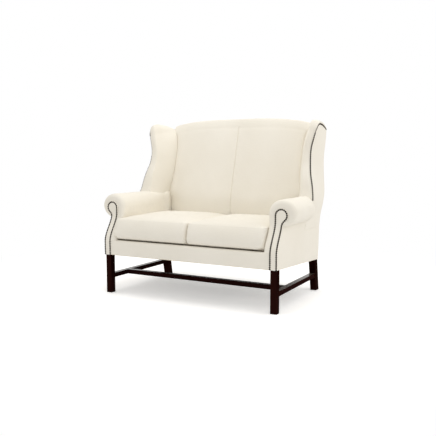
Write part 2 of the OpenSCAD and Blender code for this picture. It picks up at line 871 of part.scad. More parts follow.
// A point on the flat facets of the outside wing, and the facet's two directions
function wing_facet(u, h) =
    let (
        i = interval(wing_h_shares, h),
        j = interval(wing_u_shares, u),
        s = (u - wing_u_shares[j]) / (wing_u_shares[j + 1] - wing_u_shares[j]),
        t = (h - wing_h_shares[i]) / (wing_h_shares[i + 1] - wing_h_shares[i]),
        a = wing_sheet[i][j],
        d = wing_sheet[i + 1][j + 1],
        b = s > t ? wing_sheet[i][j + 1] : wing_sheet[i + 1][j],
        along = s > t ? b - a : d - b,
        up = s > t ? d - b : b - a
    )
    [a + s * along + t * up, along, up];

outside_rows = 10;
outside_columns = 10;
function outside_top(x) = max(crest_z(x) - crest_lip, wing_rear_z);

module outside_back() {
    z0 = carcass_z(carcass_rear_y(0));
    outer = [for (i = [0:outside_rows])
        [for (j = [-outside_columns:outside_columns])
            let (
                s = j / outside_columns,
                z = mix(z0, outside_top(s * wing_rear_x(wing_rear_z)), i / outside_rows)
            )
            [s * wing_rear_x(z), rear_y(z), z]]];
    color(fabric) placed()
        between(outer, [for (row = outer) [for (p = row) p - [0, cover_t, 0]]]);
}

// Inside back

crest_arc = [15, 40, 65, 90, 120, 150];
// How far the hidden edges of padded pieces stand back from the seam between them
rear_gap = 3;
crest_edge_z = crest_z(crest_half) - crest_shoulder;
lower_row_share = 0.5;
last_rear_shares = [0.6, 0.3];
function lobe(u) = lobe_depth * (1 - sqrt(abs(sin(180 * u))));

// Outline of the inside back seen from the front, out to its seams with the wing pads
module back_field() {
    heights = concat(
        [deck_h - over],
        [for (t = tuck_shares) mix(deck_h, back_h, t[0])],
        [back_h + over]);
    polygon(concat([for (z = heights) [back_edge(z), z]],
                   [for (z = reversed(heights)) [-back_edge(z), z]]));
}

module inside_back() {
    // The face rises to the shoulder, then rolls over the top rail to the outside back
    edge_rows = concat(
        [deck_h, mix(deck_h, wing_pad_foot_z, lower_row_share)],
        [for (h = pad_row_shares)
            let (z = mix(wing_pad_foot_z, pad_junction_z, h)) if (z < crest_edge_z) z],
        [crest_edge_z]);
    faces = [for (z1 = edge_rows) [for (u = back_columns_shares)
        let (
            s = (z1 - deck_h) / (crest_edge_z - deck_h),
            z = mix(deck_h, crest_z(u * crest_half) - crest_shoulder, s)
        )
        [u * (back_edge(z1) - pad_gap), back_face(z) + lobe(u), z]]];
    rears = [for (z1 = edge_rows) [for (u = back_columns_shares)
        let (
            s = (z1 - deck_h) / (crest_edge_z - deck_h),
            z = mix(deck_h, crest_z(u * crest_half) - crest_roll_h + pad_gap, s)
        )
        [u * (s < 1 ? back_edge(z1) - rear_gap : back_top_edge), pad_rear(z), z]]];
    roll_faces = [for (a = crest_arc) [for (u = back_columns_shares)
        let (
            z0 = crest_z(u * crest_half) - crest_shoulder,
            y0 = back_face(z0) + lobe(u),
            y1 = rear_y(z0),
            x = u * (back_edge(crest_edge_z + crest_shoulder * sin(a)) - pad_gap)
        )
        [x, (y0 + y1) / 2 - (y1 - y0) / 2 * cos(a), z0 + crest_shoulder * sin(a)]]];
    roll_rears = [for (i = [1:len(crest_arc)]) [for (u = back_columns_shares)
        let (
            z = crest_z(u * crest_half) - crest_roll_h + pad_gap,
            y0 = pad_rear(z),
            y1 = frame_rear_y(z) - webbing_t
        )
        [u * back_top_edge, mix(y0, y1, i / len(crest_arc)), z]]];
    last_faces = [for (dz = [crest_lip + webbing_t, crest_roll_h - pad_gap])
        [for (u = back_columns_shares)
            let (z = crest_z(u * crest_half) - dz) [u * back_top_edge, frame_rear_y(z), z]]];
    last_rears = [for (s = last_rear_shares) [for (u = back_columns_shares)
        let (z = crest_z(u * crest_half) - crest_roll_h + pad_gap)
        [u * back_top_edge, frame_rear_y(z) - webbing_t * s, z]]];
    color(fabric) placed()
        intersection() {
            between(concat(faces, roll_faces, last_faces), concat(rears, roll_rears, last_rears));
            front_prism(0, rear_y(back_h))
                back_field();
        }
}

// Wing pad

pad_angles = [0, 30, 60, 90, 120, 150, 180];
pad_face_shares = [0.25, 0.5, 0.75, 1];
pad_curl_shares = [0.34, 0.67, 1];
pad_shoulder_drop = 2;
pad_shoulder_z = wing_shoulder_z - wing_lip - pad_shoulder_drop;
pad_junction_z = wing_h - wing_skin - wing_lip - pad_gap;
pad_row_shares = [for (z = wing_heights(wing_pad_foot_z, pad_shoulder_z))
    (z - wing_pad_foot_z) / (pad_shoulder_z - wing_pad_foot_z)];
pad_under_shift = 4;
pad_under_least = 2;
pad_dome_columns = 4;
pad_under_columns = 3;
pad_roll_columns = len(pad_angles);

function pad_z(k, h) =
    let (t = k < pad_roll_columns ? 0 : pad_face_shares[k - pad_roll_columns])
        mix(wing_pad_foot_z, mix(pad_shoulder_z, pad_junction_z, t), h);

// Outer skin of the pad: round the front roll, then across the inner face
function pad_skin(k, h) =
    let (
        z = pad_z(k, h),
        x0 = wing_x(z),
        x1 = wing_inner_x(z),
        y = wing_y(z) - pad_gap
    )
    k < pad_roll_columns
    ? [(x0 + x1) / 2 + (x0 - x1) / 2 * cos(pad_angles[k]), y - wing_bulge * sin(pad_angles[k]), z]
    : let (t = pad_face_shares[k - pad_roll_columns])
        [mix(x1, back_edge(z) + pad_gap, t), mix(y, back_face(z) + lobe_depth, t), z];

// Lining of the pad: against the upright, then back to the post
function pad_lining(k, h) =
    let (
        j = k - pad_roll_columns,
        z = pad_z(j > 0 ? k : 0, h),
        y = wing_y(z) + wing_lip,
        x0 = wing_lining_x(z, y),
        x2 = wing_lining_x(z, y + upright_d) - upright_t - pad_gap,
        side = [x2, y + upright_d, z],
        corner = [stump_in - pad_gap, frame_rear_y(z) - post_d - pad_gap, z]
    )
    k == 0 ? [x0, wing_y(z) - pad_gap, z]
    : j < 0 ? [x0 - (upright_t + pad_gap) * k / (pad_roll_columns - 1), y - pad_gap, z]
    : j == 0 ? side
    : j == 1 ? (side + corner) / 2
    : j == 2 ? corner
    : [back_edge(z) + rear_gap, pad_rear(z), z];

function pad_rim(k) = wing_point(wing_u_shares[k], 1) - [cover_t + pad_gap, pad_gap, 0];

module wing_pad(side) {
    ks = [0:pad_roll_columns + len(pad_face_shares) - 1];
    skin = [for (h = pad_row_shares) [for (k = ks) pad_skin(k, h)]];
    lining = [for (h = pad_row_shares) [for (k = ks) pad_lining(k, h)]];
    curl = [for (c = pad_curl_shares) [for (k = ks)
        let (a = pad_skin(k, 1), e = pad_rim(k), s = 1 - cos(90 * c))
            [mix(a[0], e[0], s), mix(a[1], e[1], s),
             mix(a[2], e[2], sin(90 * c))
             + wing_dome * sin(180 * c) * min(1, k / pad_dome_columns)]]];
    under = [for (c = pad_curl_shares) [for (k = ks)
        let (
            a = pad_lining(k, 1),
            e = pad_rim(k),
            t = min(1, k / pad_under_columns),
            drop = mix(pad_under_least, wing_skin, t)
        )
        mix(a, e - [pad_under_shift * t, 0, drop], c)]];
    color(fabric) placed() sided(side)
        difference() {
            between(concat(skin, curl), concat(lining, under));
            scroll_disc(wing_foot_y - 2 * wing_bulge, rear_y(arm_h), roll_r);
            front_prism(0, rear_y(back_h))
                back_field();
        }
}

// Nails

function distance(a, b) = norm(b - a);
// Running length at each point of a path
function running(points, i = 0, sum = 0) =
    i == len(points) - 1 ? [sum]
    : concat([sum], running(points, i + 1, sum + distance(points[i], points[i + 1])));

module nail() {
    cylinder(r1 = nail_d / 2, r2 = nail_d / 2 * nail_top_share, h = nail_h,
        $fn = nail_steps);
}

// The line of an arm's nails, in width and height
arm_nail_line = concat(
    [for (i = [0:line_steps])
        [facing_in + nail_inset, mix(facing_foot_z + nail_foot_gap, head_z, i / line_steps)]],
    [for (i = [1:line_steps])
        let (a = mix(180, -neck_angle, i / line_steps), r = head_r - nail_inset)
            [scroll_x + r * cos(a), head_z + r * sin(a)]],
    [for (i = [1:line_steps])
        let (a = mix(180 - neck_angle, 180, i / line_steps), r = neck_r + nail_inset)
            [neck_x + r * cos(a), neck_z + r * sin(a)]],
    [for (i = [1:line_steps])
        [facing_out - nail_inset, mix(neck_z, facing_foot_z + nail_foot_gap, i / line_steps)]]);

module arm_nails(side) {
    lengths = running([for (p = arm_nail_line) [p[0], facing_y(p[1]), p[1]]]);
    total = lengths[len(lengths) - 1];
    count = floor(total / nail_pitch);
    xs = [for (i = [0:len(lengths) - 1]) [lengths[i], arm_nail_line[i][0]]];
    zs = [for (i = [0:len(lengths) - 1]) [lengths[i], arm_nail_line[i][1]]];
    color(antique) placed() sided(side)
        for (i = [0:count]) {
            x = lookup(total * i / count, xs);
            z = lookup(total * i / count, zs);
            slope = atan(facing_slope(z));
            translate([x, facing_y(z), z])
                rotate([90 - slope, 0, 0])
                    translate([0, 0, nail_lift])
                        nail();
        }
}

// The line of a wing's nails: up the front edge, then back along the top
wing_nail_foot_share = 0.315;
wing_nail_top_share = 0.985;
wing_nail_front_share = 0.016;
wing_nail_rear_share = 0.97;
wing_nail_line = concat(
    [for (i = [0:line_steps])
        [wing_nail_front_share, mix(wing_nail_foot_share, wing_nail_top_share, i / line_steps)]],
    [for (i = [1:line_steps])
        [mix(wing_nail_front_share, wing_nail_rear_share, i / line_steps), wing_nail_top_share]]);

module wing_nails(side) {
    spots = [for (p = wing_nail_line) wing_facet(p[0], p[1])[0]];
    lengths = running(spots);
    total = lengths[len(lengths) - 1];
    count = floor(total / nail_pitch);
    us = [for (i = [0:len(lengths) - 1]) [lengths[i], wing_nail_line[i][0]]];
    hs = [for (i = [0:len(lengths) - 1]) [lengths[i], wing_nail_line[i][1]]];
    color(antique) placed() sided(side)
        for (i = [0:count]) {
            facet = wing_facet(lookup(total * i / count, us), lookup(total * i / count, hs));
            n = cross(facet[1], facet[2]) / norm(cross(facet[1], facet[2]));
            translate(facet[0])
                rotate([0, acos(n[2]), atan2(n[1], n[0])])
                    translate([0, 0, nail_lift])
                        nail();
        }
}

// Loose seat cushions

cushion_t = seat_h - deck_h - rest_gap;
// Rings of a cushion from below: share of its plan or height, then of its edge, bulge or crown
cushion_base_shares = [[0.4, 0], [0.8, 0], [0.94, 0], [0.975, 0.35], [1, 1]];
cushion_side_shares = [[0.3, 0.7], [0.6, 1], [0.85, 0.6], [1, 0]];
cushion_top_shares = [[0.996, 0.04], [0.97, 0.2], [0.925, 0.385], [0.815, 0.67], [0.595, 0.9],
    [0.295, 1]];

function cushion_ring(share, z, out) =
    let (
        x0 = cushion_gap / 2,
        x1 = arm_in - cushion_out,
        y0 = cushion_front_y + cushion_front_lean * (z - deck_h) / (seat_h - deck_h),
        y1 = back_front_y - 2 * cushion_gap,
        a = (x1 - x0) / 2 - cushion_bulge + out,
        b = (y1 - y0) / 2 - cushion_bulge + out,
        e = 2 / cushion_corner_power
    )
    [for (i = [0:cushion_sides - 1])
        let (t = 360 * (i + 0.5) / cushion_sides, c = cos(t), s = sin(t))
            [(x0 + x1) / 2 + a * share * sign(c) * pow(abs(c), e),
             (y0 + y1) / 2 + b * share * sign(s) * pow(abs(s), e), z]];

module seat_cushion(side) {
    z0 = deck_h + rest_gap;
    rings = concat(
        [for (r = cushion_base_shares) cushion_ring(r[0], z0 + cushion_edge_r * r[1], 0)],
        [for (r = cushion_side_shares)
            cushion_ring(1, z0 + cushion_t * r[0], cushion_bulge * r[1])],
        [for (r = cushion_top_shares) cushion_ring(r[0], seat_h + crown_h * r[1], 0)]);
    mid_x = (arm_in - cushion_out + cushion_gap / 2) / 2;
    mid = back_front_y / 2;
    color(fabric) placed() sided(side)
        stack(rings, [mid_x, mid, z0], [mid_x, mid, seat_h + crown_h]);
}

front_leg(-1);  // front_leg_left
front_leg(1);  // front_leg_right
rear_leg(-1);  // rear_leg_left
rear_leg(1);  // rear_leg_right
side_stretcher(-1);  // side_stretcher_left
side_stretcher(1);  // side_stretcher_right
cross_stretcher();
front_seat_rail();
side_seat_rail(-1);  // side_seat_rail_left
side_seat_rail(1);  // side_seat_rail_right
rear_seat_rail();
centre_seat_rail();
corner_blocks();
arm_stump(-1);  // arm_stump_left
arm_stump(1);  // arm_stump_right
scroll_block(-1);  // scroll_block_left
scroll_block(1);  // scroll_block_right
arm_board(-1);  // arm_board_left
arm_board(1);  // arm_board_right
back_post(-1);  // back_post_left
back_post(1);  // back_post_right
back_top_rail();
back_bottom_rail();
back_stile();
wing_upright(-1);  // wing_upright_left
wing_upright(1);  // wing_upright_right
wing_top_rail(-1);  // wing_top_rail_left
wing_top_rail(1);  // wing_top_rail_right
seat_webbing_long();
seat_webbing_cross();
back_webbing();
seat_platform();
front_rail_cover();
inside_arm(-1);  // inside_arm_left
inside_arm(1);  // inside_arm_right
arm_roll(-1);  // arm_roll_left
arm_roll(1);  // arm_roll_right
arm_facing(-1);  // arm_facing_left
arm_facing(1);  // arm_facing_right
outside_arm(-1);  // outside_arm_left
outside_arm(1);  // outside_arm_right
outside_wing(-1);  // outside_wing_left
outside_wing(1);  // outside_wing_right
outside_back();
inside_back();
wing_pad(-1);  // wing_pad_left
wing_pad(1);  // wing_pad_right
dust_cover();
arm_nails(-1);  // arm_nails_left
arm_nails(1);  // arm_nails_right
wing_nails(-1);  // wing_nails_left
wing_nails(1);  // wing_nails_right
seat_cushion(-1);  // seat_cushion_left
seat_cushion(1);  // seat_cushion_right
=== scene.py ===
# High back settee: padding, cloth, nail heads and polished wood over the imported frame.
# Shapes are worked out in millimetres, with depth measured from the front legs, and turned
# into metres in the part's frame when a mesh is made.
import math

import bpy
import numpy as np
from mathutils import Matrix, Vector


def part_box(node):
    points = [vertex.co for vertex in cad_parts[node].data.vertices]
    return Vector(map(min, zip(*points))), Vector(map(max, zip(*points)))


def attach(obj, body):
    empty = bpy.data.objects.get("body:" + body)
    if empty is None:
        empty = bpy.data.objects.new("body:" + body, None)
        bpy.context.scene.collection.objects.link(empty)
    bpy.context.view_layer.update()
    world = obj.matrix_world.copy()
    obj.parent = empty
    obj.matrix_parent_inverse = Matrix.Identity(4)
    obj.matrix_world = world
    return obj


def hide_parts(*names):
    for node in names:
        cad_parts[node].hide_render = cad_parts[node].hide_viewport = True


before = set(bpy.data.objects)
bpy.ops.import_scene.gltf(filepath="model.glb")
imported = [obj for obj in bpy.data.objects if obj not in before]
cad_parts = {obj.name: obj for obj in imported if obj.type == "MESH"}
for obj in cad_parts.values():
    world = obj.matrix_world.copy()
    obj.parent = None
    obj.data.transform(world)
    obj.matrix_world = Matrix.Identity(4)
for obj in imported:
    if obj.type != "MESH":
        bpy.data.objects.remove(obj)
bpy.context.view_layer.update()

BODY = "frame"
SIDES = ((1, "right"), (-1, "left"))
MM = 0.001
mid_y = -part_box("front_leg_right")[0].y / MM

# Sizes, as in the part
half_w, body_d, back_h, tilt = 594.0, 695.0, 1135.0, math.radians(3.5)
leg_h, deck_h, seat_h, crown_h = 248.0, 345.0, 480.0, 28.0
back_front_y, arm_in, lumbar_h, back_rake = 594.0, 512.0, 245.0, 0.265
roll_r, head_r, neck_r = 78.0, 39.0, 34.0
scroll_x, scroll_z, head_z = 589.0, 558.0, 548.0
facing_low_y, scroll_back = -9.0, 75.0
facing_in, facing_out = scroll_x - head_r, half_w + 3.0
neck_x = facing_out + neck_r
neck_z = head_z - math.sqrt((head_r + neck_r) ** 2 - (neck_x - scroll_x) ** 2)
wing_h, wing_flare, wing_back, wing_foot_y, wing_foot_z = 1092.0, 51.0, 170.0, 435.0, 430.0
wing_front_drop, wing_rear_drop, wing_rise, wing_spread = 47.0, 34.0, 48.0, 10.0
crest_fall, crest_half, crest_lip = 40.0, 530.0, 22.0
nail_pitch, nail_inset = 11.5, 4.5

# Sizes of the scene alone: nail heads a little wider than the part's, and a nail line along
# each wing that starts a little lower, at the roll, with as many nails as the part has
nail_r, wing_nail_pitch = 5.4, 11.79
wing_nail_u, wing_nail_rear = 0.003, 0.97
wing_nail_foot, wing_nail_top = 0.300, 0.985
front_nail_steps, top_nail_steps = 60, 50
pad_thick = 48.0
turn_steps, turn_h = 24, 60.0
line_step = 2.0


def mix(a, b, t):
    return a + (b - a) * t


def ease(t):
    t = np.clip(t, 0.0, 1.0)
    return t * t * (3 - 2 * t)


def bell(distance, width):
    """1 at no distance, and smoothly down to 0 over a few widths."""
    return np.exp(-(distance / width) ** 2)


def rounded_table(pairs, width):
    """A table of (place, value) pairs as a function whose kinks are rounded over a width."""
    xs, ys = np.array(pairs, float).T
    fine = np.linspace(xs[0] - 3 * width, xs[-1] + 3 * width, 1500)
    values = np.interp(fine, xs, ys)
    slope_a = (ys[1] - ys[0]) / (xs[1] - xs[0])
    slope_b = (ys[-1] - ys[-2]) / (xs[-1] - xs[-2])
    values += np.minimum(fine - xs[0], 0) * slope_a + np.maximum(fine - xs[-1], 0) * slope_b
    step = fine[1] - fine[0]
    reach = int(3 * width / step)
    kernel = np.exp(-0.5 * (np.arange(-reach, reach + 1) * step / width) ** 2)
    kernel /= kernel.sum()
    smooth = np.convolve(values, kernel, mode="same")
    inner = slice(reach, len(fine) - reach)
    return lambda t: np.interp(t, fine[inner], smooth[inner])


wing_out = rounded_table([(0, 0), (0.06, 0.12), (0.12, 0.47), (0.19, 0.9), (0.27, 1),
    (0.335, 0.82), (0.415, 0.65), (0.48, 0.43), (0.545, 0.22), (0.607, 0.06), (0.7, -0.04),
    (0.764, 0.02), (0.87, 0.35), (0.92, 0.52), (0.95, 0.6), (1, 0.7)], 0.018)
wing_reach = rounded_table([(0, 0), (0.24, 0), (0.27, 0.02), (0.3, 0.08), (0.335, 0.15),
    (0.415, 0.21), (0.48, 0.265), (0.545, 0.365), (0.607, 0.49), (0.7, 0.576), (0.764, 0.606),
    (0.87, 0.647), (0.92, 0.69), (1, 0.73)], 0.018)
wing_rear = rounded_table([(0, 0), (0.106, 0.1), (0.234, 0.45), (0.34, 0.55), (0.46, 0.43),
    (0.58, 0.31), (0.7, 0.29), (0.82, 0.45), (1, 0.51)], 0.03)
wing_top = rounded_table([(0, 0), (0.05, 0.55), (0.12, 0.88), (0.25, 1), (0.5, 0.82),
    (0.8, 0.39), (1, 0)], 0.025)
wing_thick = rounded_table([(0.2, 1.9), (0.27, 1.9), (0.335, 1.72), (0.46, 1.36), (0.6, 1.1),
    (0.7, 1), (0.82, 1), (0.95, 0.92), (1, 0.9)], 0.02)
back_tuck = rounded_table([(0, 0.05), (0.34, 0.05), (0.37, 0.16), (0.42, 0.5), (0.48, 0.84),
    (0.55, 1), (0.72, 1), (0.83, 0.8), (0.89, 0.28), (0.95, -0.72), (1, -0.72)], 0.015)


def carcass_z(y):
    return leg_h - y * math.tan(tilt)


def rear_y(z):
    return body_d + z * math.tan(tilt)


def facing_y(z):
    """Depth of the facing, which runs back in an S from the leg to the roll's head."""
    return facing_low_y + scroll_back * ease((z - 335.0) / 180.0)


def crest_z(x):
    return back_h - crest_fall * (np.abs(x) / crest_half) ** 4


def back_face(z):
    """Depth of the inside back: upright low down, then raked from about lumbar height."""
    d, bend = z - deck_h - lumbar_h, 30.0
    raked = np.where(d <= -bend, 0, np.where(d >= bend, d, (d + bend) ** 2 / (4 * bend)))
    return back_front_y + back_rake * raked


def back_edge(z):
    """Half the inside back's width, where it meets the arms and wings."""
    return arm_in - 25.0 * back_tuck((z - deck_h) / (back_h - deck_h))


def wing_share(z):
    return (z - wing_foot_z) / (wing_h - wing_foot_z)


def wing_x(z):
    return half_w + wing_flare * wing_out(wing_share(z))


def wing_y(z):
    return wing_foot_y + wing_back * wing_reach(wing_share(z))


def wing_rear_x(z):
    return half_w + wing_flare * wing_rear(wing_share(z))


def wing_point(u, h):
    """A point of the wing's outer surface: u from the front edge to the rear, h upwards."""
    zf = mix(wing_foot_z, wing_h - wing_front_drop, h)
    zr = mix(wing_foot_z, wing_h - wing_rear_drop, h)
    lift = np.clip(wing_top(u), 0, None) * h ** 10
    x = mix(wing_x(zf), wing_rear_x(zr), u) + wing_spread * lift
    y = mix(wing_y(zf), rear_y(zr) - 1.0, u)
    return np.stack([x, y, mix(zf, zr, u) + wing_rise * lift], axis=-1)


def to_frame(points):
    points = np.array(points, float) * MM
    points[..., 1] -= mid_y * MM
    return points


def placed(name, data):
    """A new object in the scene."""
    obj = bpy.data.objects.new(name, data)
    bpy.context.scene.collection.objects.link(obj)
    return obj


def configured(thing, **values):
    """Sets a thing's attributes by name."""
    for key, value in values.items():
        setattr(thing, key, value)
    return thing


def make(name, points, faces):
    """A mesh object from points in millimetres."""
    mesh = bpy.data.meshes.new(name)
    mesh.from_pydata(to_frame(points).tolist(), [], [tuple(int(i) for i in f) for f in faces])
    mesh.validate()
    mesh.shade_smooth()
    return placed(name, mesh)


def row_of(x, y, z):
    """A row of points, where each coordinate is an array or one number for all of them."""
    return np.stack(np.broadcast_arrays(x, y, z), 1)


def grid_faces(m, n, wrap=False):
    """The quads between m rows of n points; wrap closes each row into a ring."""
    i, j = np.meshgrid(np.arange(m - 1), np.arange(n if wrap else n - 1), indexing="ij")
    a, b = i * n + j, i * n + (j + 1) % n
    return np.stack([a, b, b + n, a + n], axis=-1).reshape(-1, 4)


def grid(name, sheet, side=1, flip=False):
    """A sheet of points, rows by columns, as a mesh; side -1 is its mirror image."""
    sheet = np.array(sheet, float)
    faces = grid_faces(*sheet.shape[:2])
    sheet[..., 0] *= side
    return make(name, sheet.reshape(-1, 3), faces[:, ::-1] if flip != (side < 0) else faces)


def applied(obj, kind, **settings):
    """Adds a modifier, sets it and turns its result into the object's mesh."""
    configured(obj.modifiers.new(kind.lower(), kind), **settings)
    bpy.context.view_layer.update()
    done = obj.evaluated_get(bpy.context.evaluated_depsgraph_get())
    mesh = bpy.data.meshes.new_from_object(done)
    obj.modifiers.clear()
    old = obj.data
    obj.data = mesh
    mesh.name = obj.name
    bpy.data.meshes.remove(old)
    mesh.shade_smooth()
    return obj


def rounder(obj, levels):
    return applied(obj, "SUBSURF", levels=levels, render_levels=levels,
                   boundary_smooth="PRESERVE_CORNERS")


def thicker(obj, thickness):
    """Gives a cloth surface its thickness, inwards, so that it is a closed solid."""
    return applied(obj, "SOLIDIFY", thickness=thickness * MM, offset=-1.0, use_rim=True)


def points_of(mesh):
    """A mesh's points in millimetres, with depth measured from the front legs."""
    co = np.empty(len(mesh.vertices) * 3)
    mesh.vertices.foreach_get("co", co)
    co = co.reshape(-1, 3) / MM
    co[:, 1] += mid_y
    return co


def write(obj, points):
    obj.data.vertices.foreach_set("co", to_frame(points).ravel())
    obj.data.update()
    obj.data.shade_smooth()


def displaced(obj, amount):
    """Moves each point along its normal by amount(points) millimetres."""
    normals = np.empty(len(obj.data.vertices) * 3)
    obj.data.vertex_normals.foreach_get("vector", normals)
    co = points_of(obj.data)
    write(obj, co + normals.reshape(-1, 3) * amount(co)[:, None])
    return obj


def ripple(points, scale, seed):
    """Smooth unevenness between about -1 and 1, the same each run."""
    rng = np.random.default_rng(seed)
    total = np.zeros(len(points))
    for _ in range(9):
        way = rng.normal(size=3)
        way *= 2 * math.pi / (np.linalg.norm(way) * scale * rng.uniform(0.6, 1.7))
        total += np.sin(points @ way + rng.uniform(0, 2 * math.pi))
    return total / 4.0


def gap_to(points, line):
    """Distance from each point to the nearest sample of a line, and that sample's number."""
    best = np.full(len(points), 1e9)
    where = np.zeros(len(points), int)
    for start in range(0, len(line), 64):
        d = np.linalg.norm(points[:, None] - line[None, start:start + 64], axis=2)
        k = d.argmin(axis=1)
        v = d[np.arange(len(points)), k]
        closer = v < best
        best[closer] = v[closer]
        where[closer] = k[closer] + start
    return best, where


def resampled(line, step):
    line = np.array(line, float)
    run = np.concatenate([[0], np.cumsum(np.linalg.norm(np.diff(line, axis=0), axis=1))])
    count = max(2, int(round(run[-1] / step)))
    at = np.linspace(0, run[-1], count + 1)
    return np.stack([np.interp(at, run, line[:, k]) for k in range(3)], axis=1)


def inputs(made, **values):
    """Sets a node's inputs by name, with _ for each space."""
    for key, value in values.items():
        made.inputs[key.replace("_", " ")].default_value = value
    return made


def added(tree, kind, **values):
    """A new node with its inputs set."""
    return inputs(tree.nodes.new("ShaderNode" + kind), **values)


def shader(name):
    mat = bpy.data.materials.new(name)
    mat.use_nodes = True
    tree = mat.node_tree
    tree.nodes.clear()
    out = added(tree, "OutputMaterial")
    bsdf = added(tree, "BsdfPrincipled")
    tree.links.new(bsdf.outputs[0], out.inputs[0])
    return mat, tree, bsdf


def noise(tree, where, **values):
    """A noise texture's factor at the given coordinates."""
    made = added(tree, "TexNoise", **values)
    tree.links.new(where, made.inputs["Vector"])
    return made.outputs["Fac"]


def stretched(tree, where, scale):
    """Coordinates that are scaled along the axes."""
    made = added(tree, "Mapping", Scale=scale)
    tree.links.new(where, made.inputs["Vector"])
    return made.outputs[0]


def bumped(tree, height, bsdf, strength, distance):
    made = added(tree, "Bump", Strength=strength, Distance=distance)
    tree.links.new(height, made.inputs["Height"])
    tree.links.new(made.outputs[0], bsdf.inputs["Normal"])


def blended(tree, factor, a, b):
    """The colour a, turned into the plain colour b by a factor."""
    made = added(tree, "Mix")
    made.data_type = "RGBA"
    tree.links.new(factor, made.inputs["Factor"])
    tree.links.new(a, made.inputs["A"])
    made.inputs["B"].default_value = (*b, 1)
    return made.outputs["Result"]


def ramp(tree, source, stops):
    """A colour ramp's colour, with (place, colour) stops."""
    made = added(tree, "ValToRGB")
    elements = made.color_ramp.elements
    while len(elements) < len(stops):
        elements.new(0.5)
    for element, (at, colour) in zip(elements, stops):
        element.position = at
        element.color = (*colour, 1)
    tree.links.new(source, made.inputs[0])
    return made.outputs[0]


def maths(tree, operation, a, b=None):
    made = added(tree, "Math")
    made.operation = operation
    for i, value in enumerate((a, b)):
        if value is None:
            continue
        if isinstance(value, (int, float)):
            made.inputs[i].default_value = value
        else:
            tree.links.new(value, made.inputs[i])
    return made.outputs[0]


def folded(tree, operation, first, *more):
    """One operation over several sources, in turn."""
    for part in more:
        first = maths(tree, operation, first, part)
    return first


def weighted(tree, *pairs):
    """The sum of some sources, each times its weight."""
    return folded(tree, "ADD", *[maths(tree, "MULTIPLY", *pair) for pair in pairs])


def cloth_material(name, dark, light, thread, depth, slub, sheen):
    """Woven cloth: threads both ways, thicker slubs, and soft shifts of shade."""
    mat, tree, bsdf = shader(name)
    link = tree.links.new
    where = added(tree, "TexCoord").outputs["Object"]
    threads = []
    for axis in "XYZ":
        wave = added(tree, "TexWave")
        wave.wave_type, wave.bands_direction, wave.wave_profile = "BANDS", axis, "SIN"
        inputs(wave, Scale=math.pi / (10 * thread), Distortion=0.6, Detail=1.0,
               Detail_Scale=1.5)
        link(where, wave.inputs["Vector"])
        threads.append(wave.outputs["Fac"])
    weave = folded(tree, "ADD", *threads)
    fuzz = noise(tree, where, Scale=420.0, Detail=4.0, Roughness=0.7)
    slubs = noise(tree, stretched(tree, where, (1.0, 1.0, 9.0)),
                  Scale=55.0, Detail=3.0, Roughness=0.6)
    broad = noise(tree, where, Scale=3.2, Detail=2.0, Roughness=0.5)
    height = weighted(tree, (weave, 0.33), (fuzz, 0.9), (slubs, slub))
    bumped(tree, height, bsdf, 0.35, depth)
    shade = weighted(tree, (broad, 0.5), (slubs, 0.3), (fuzz, 0.2))
    link(ramp(tree, shade, [(0.3, dark), (0.7, light)]), bsdf.inputs["Base Color"])
    link(ramp(tree, slubs, [(0.3, (0.82,) * 3), (0.8, (0.95,) * 3)]), bsdf.inputs["Roughness"])
    inputs(bsdf, Specular_IOR_Level=0.25, Sheen_Weight=sheen, Sheen_Roughness=0.45)
    return mat


def wood_material(name, dark, light, rough_low, rough_high, grain, along, shine, top_shine,
                  top_tone):
    """Wood with long grain, pores and rubbed edges; upper faces get a painted paler reflection
    and more shine.
    """
    mat, tree, bsdf = shader(name)
    link = tree.links.new
    where = added(tree, "TexCoord").outputs["Object"]
    drawn = stretched(tree, where, tuple(0.09 if axis == along else 1.0 for axis in "XYZ"))
    bands = noise(tree, drawn, Scale=grain, Detail=6.0, Roughness=0.62, Distortion=0.8)
    pores = noise(tree, drawn, Scale=grain * 9, Detail=3.0, Roughness=0.7)
    surface = added(tree, "NewGeometry")
    edge = ramp(tree, surface.outputs["Pointiness"], [(0.52, (0, 0, 0)), (0.6, (1, 1, 1))])
    rubbed = blended(tree, maths(tree, "MULTIPLY", edge, 0.35),
                     ramp(tree, bands, [(0.32, dark), (0.72, light)]),
                     [min(1.0, 1.9 * c + 0.006) for c in light])
    axes = added(tree, "SeparateXYZ")
    link(surface.outputs["Normal"], axes.inputs[0])
    # Painted reflection: faces that point up are blended towards a paler tone, which stands in
    # for the light they mirror
    upper = added(tree, "MapRange", From_Min=0.8, From_Max=0.97)
    link(axes.outputs["Z"], upper.inputs["Value"])
    painted_top_reflection = blended(tree, maths(tree, "MULTIPLY", upper.outputs["Result"], 0.6), rubbed, top_tone)
    link(painted_top_reflection, bsdf.inputs["Base Color"])
    link(ramp(tree, pores, [(0.35, (rough_low,) * 3), (0.7, (rough_high,) * 3)]),
         bsdf.inputs["Roughness"])
    bumped(tree, maths(tree, "ADD", pores, bands), bsdf, 0.25, 0.0004)
    level = added(tree, "MapRange", From_Min=0.7, From_Max=0.95,
                   To_Min=shine, To_Max=top_shine)
    link(axes.outputs["Z"], level.inputs["Value"])
    link(level.outputs["Result"], bsdf.inputs["Specular IOR Level"])
    inputs(bsdf, Specular_Tint=(1.0, 0.93, 0.82, 1.0))
    return mat


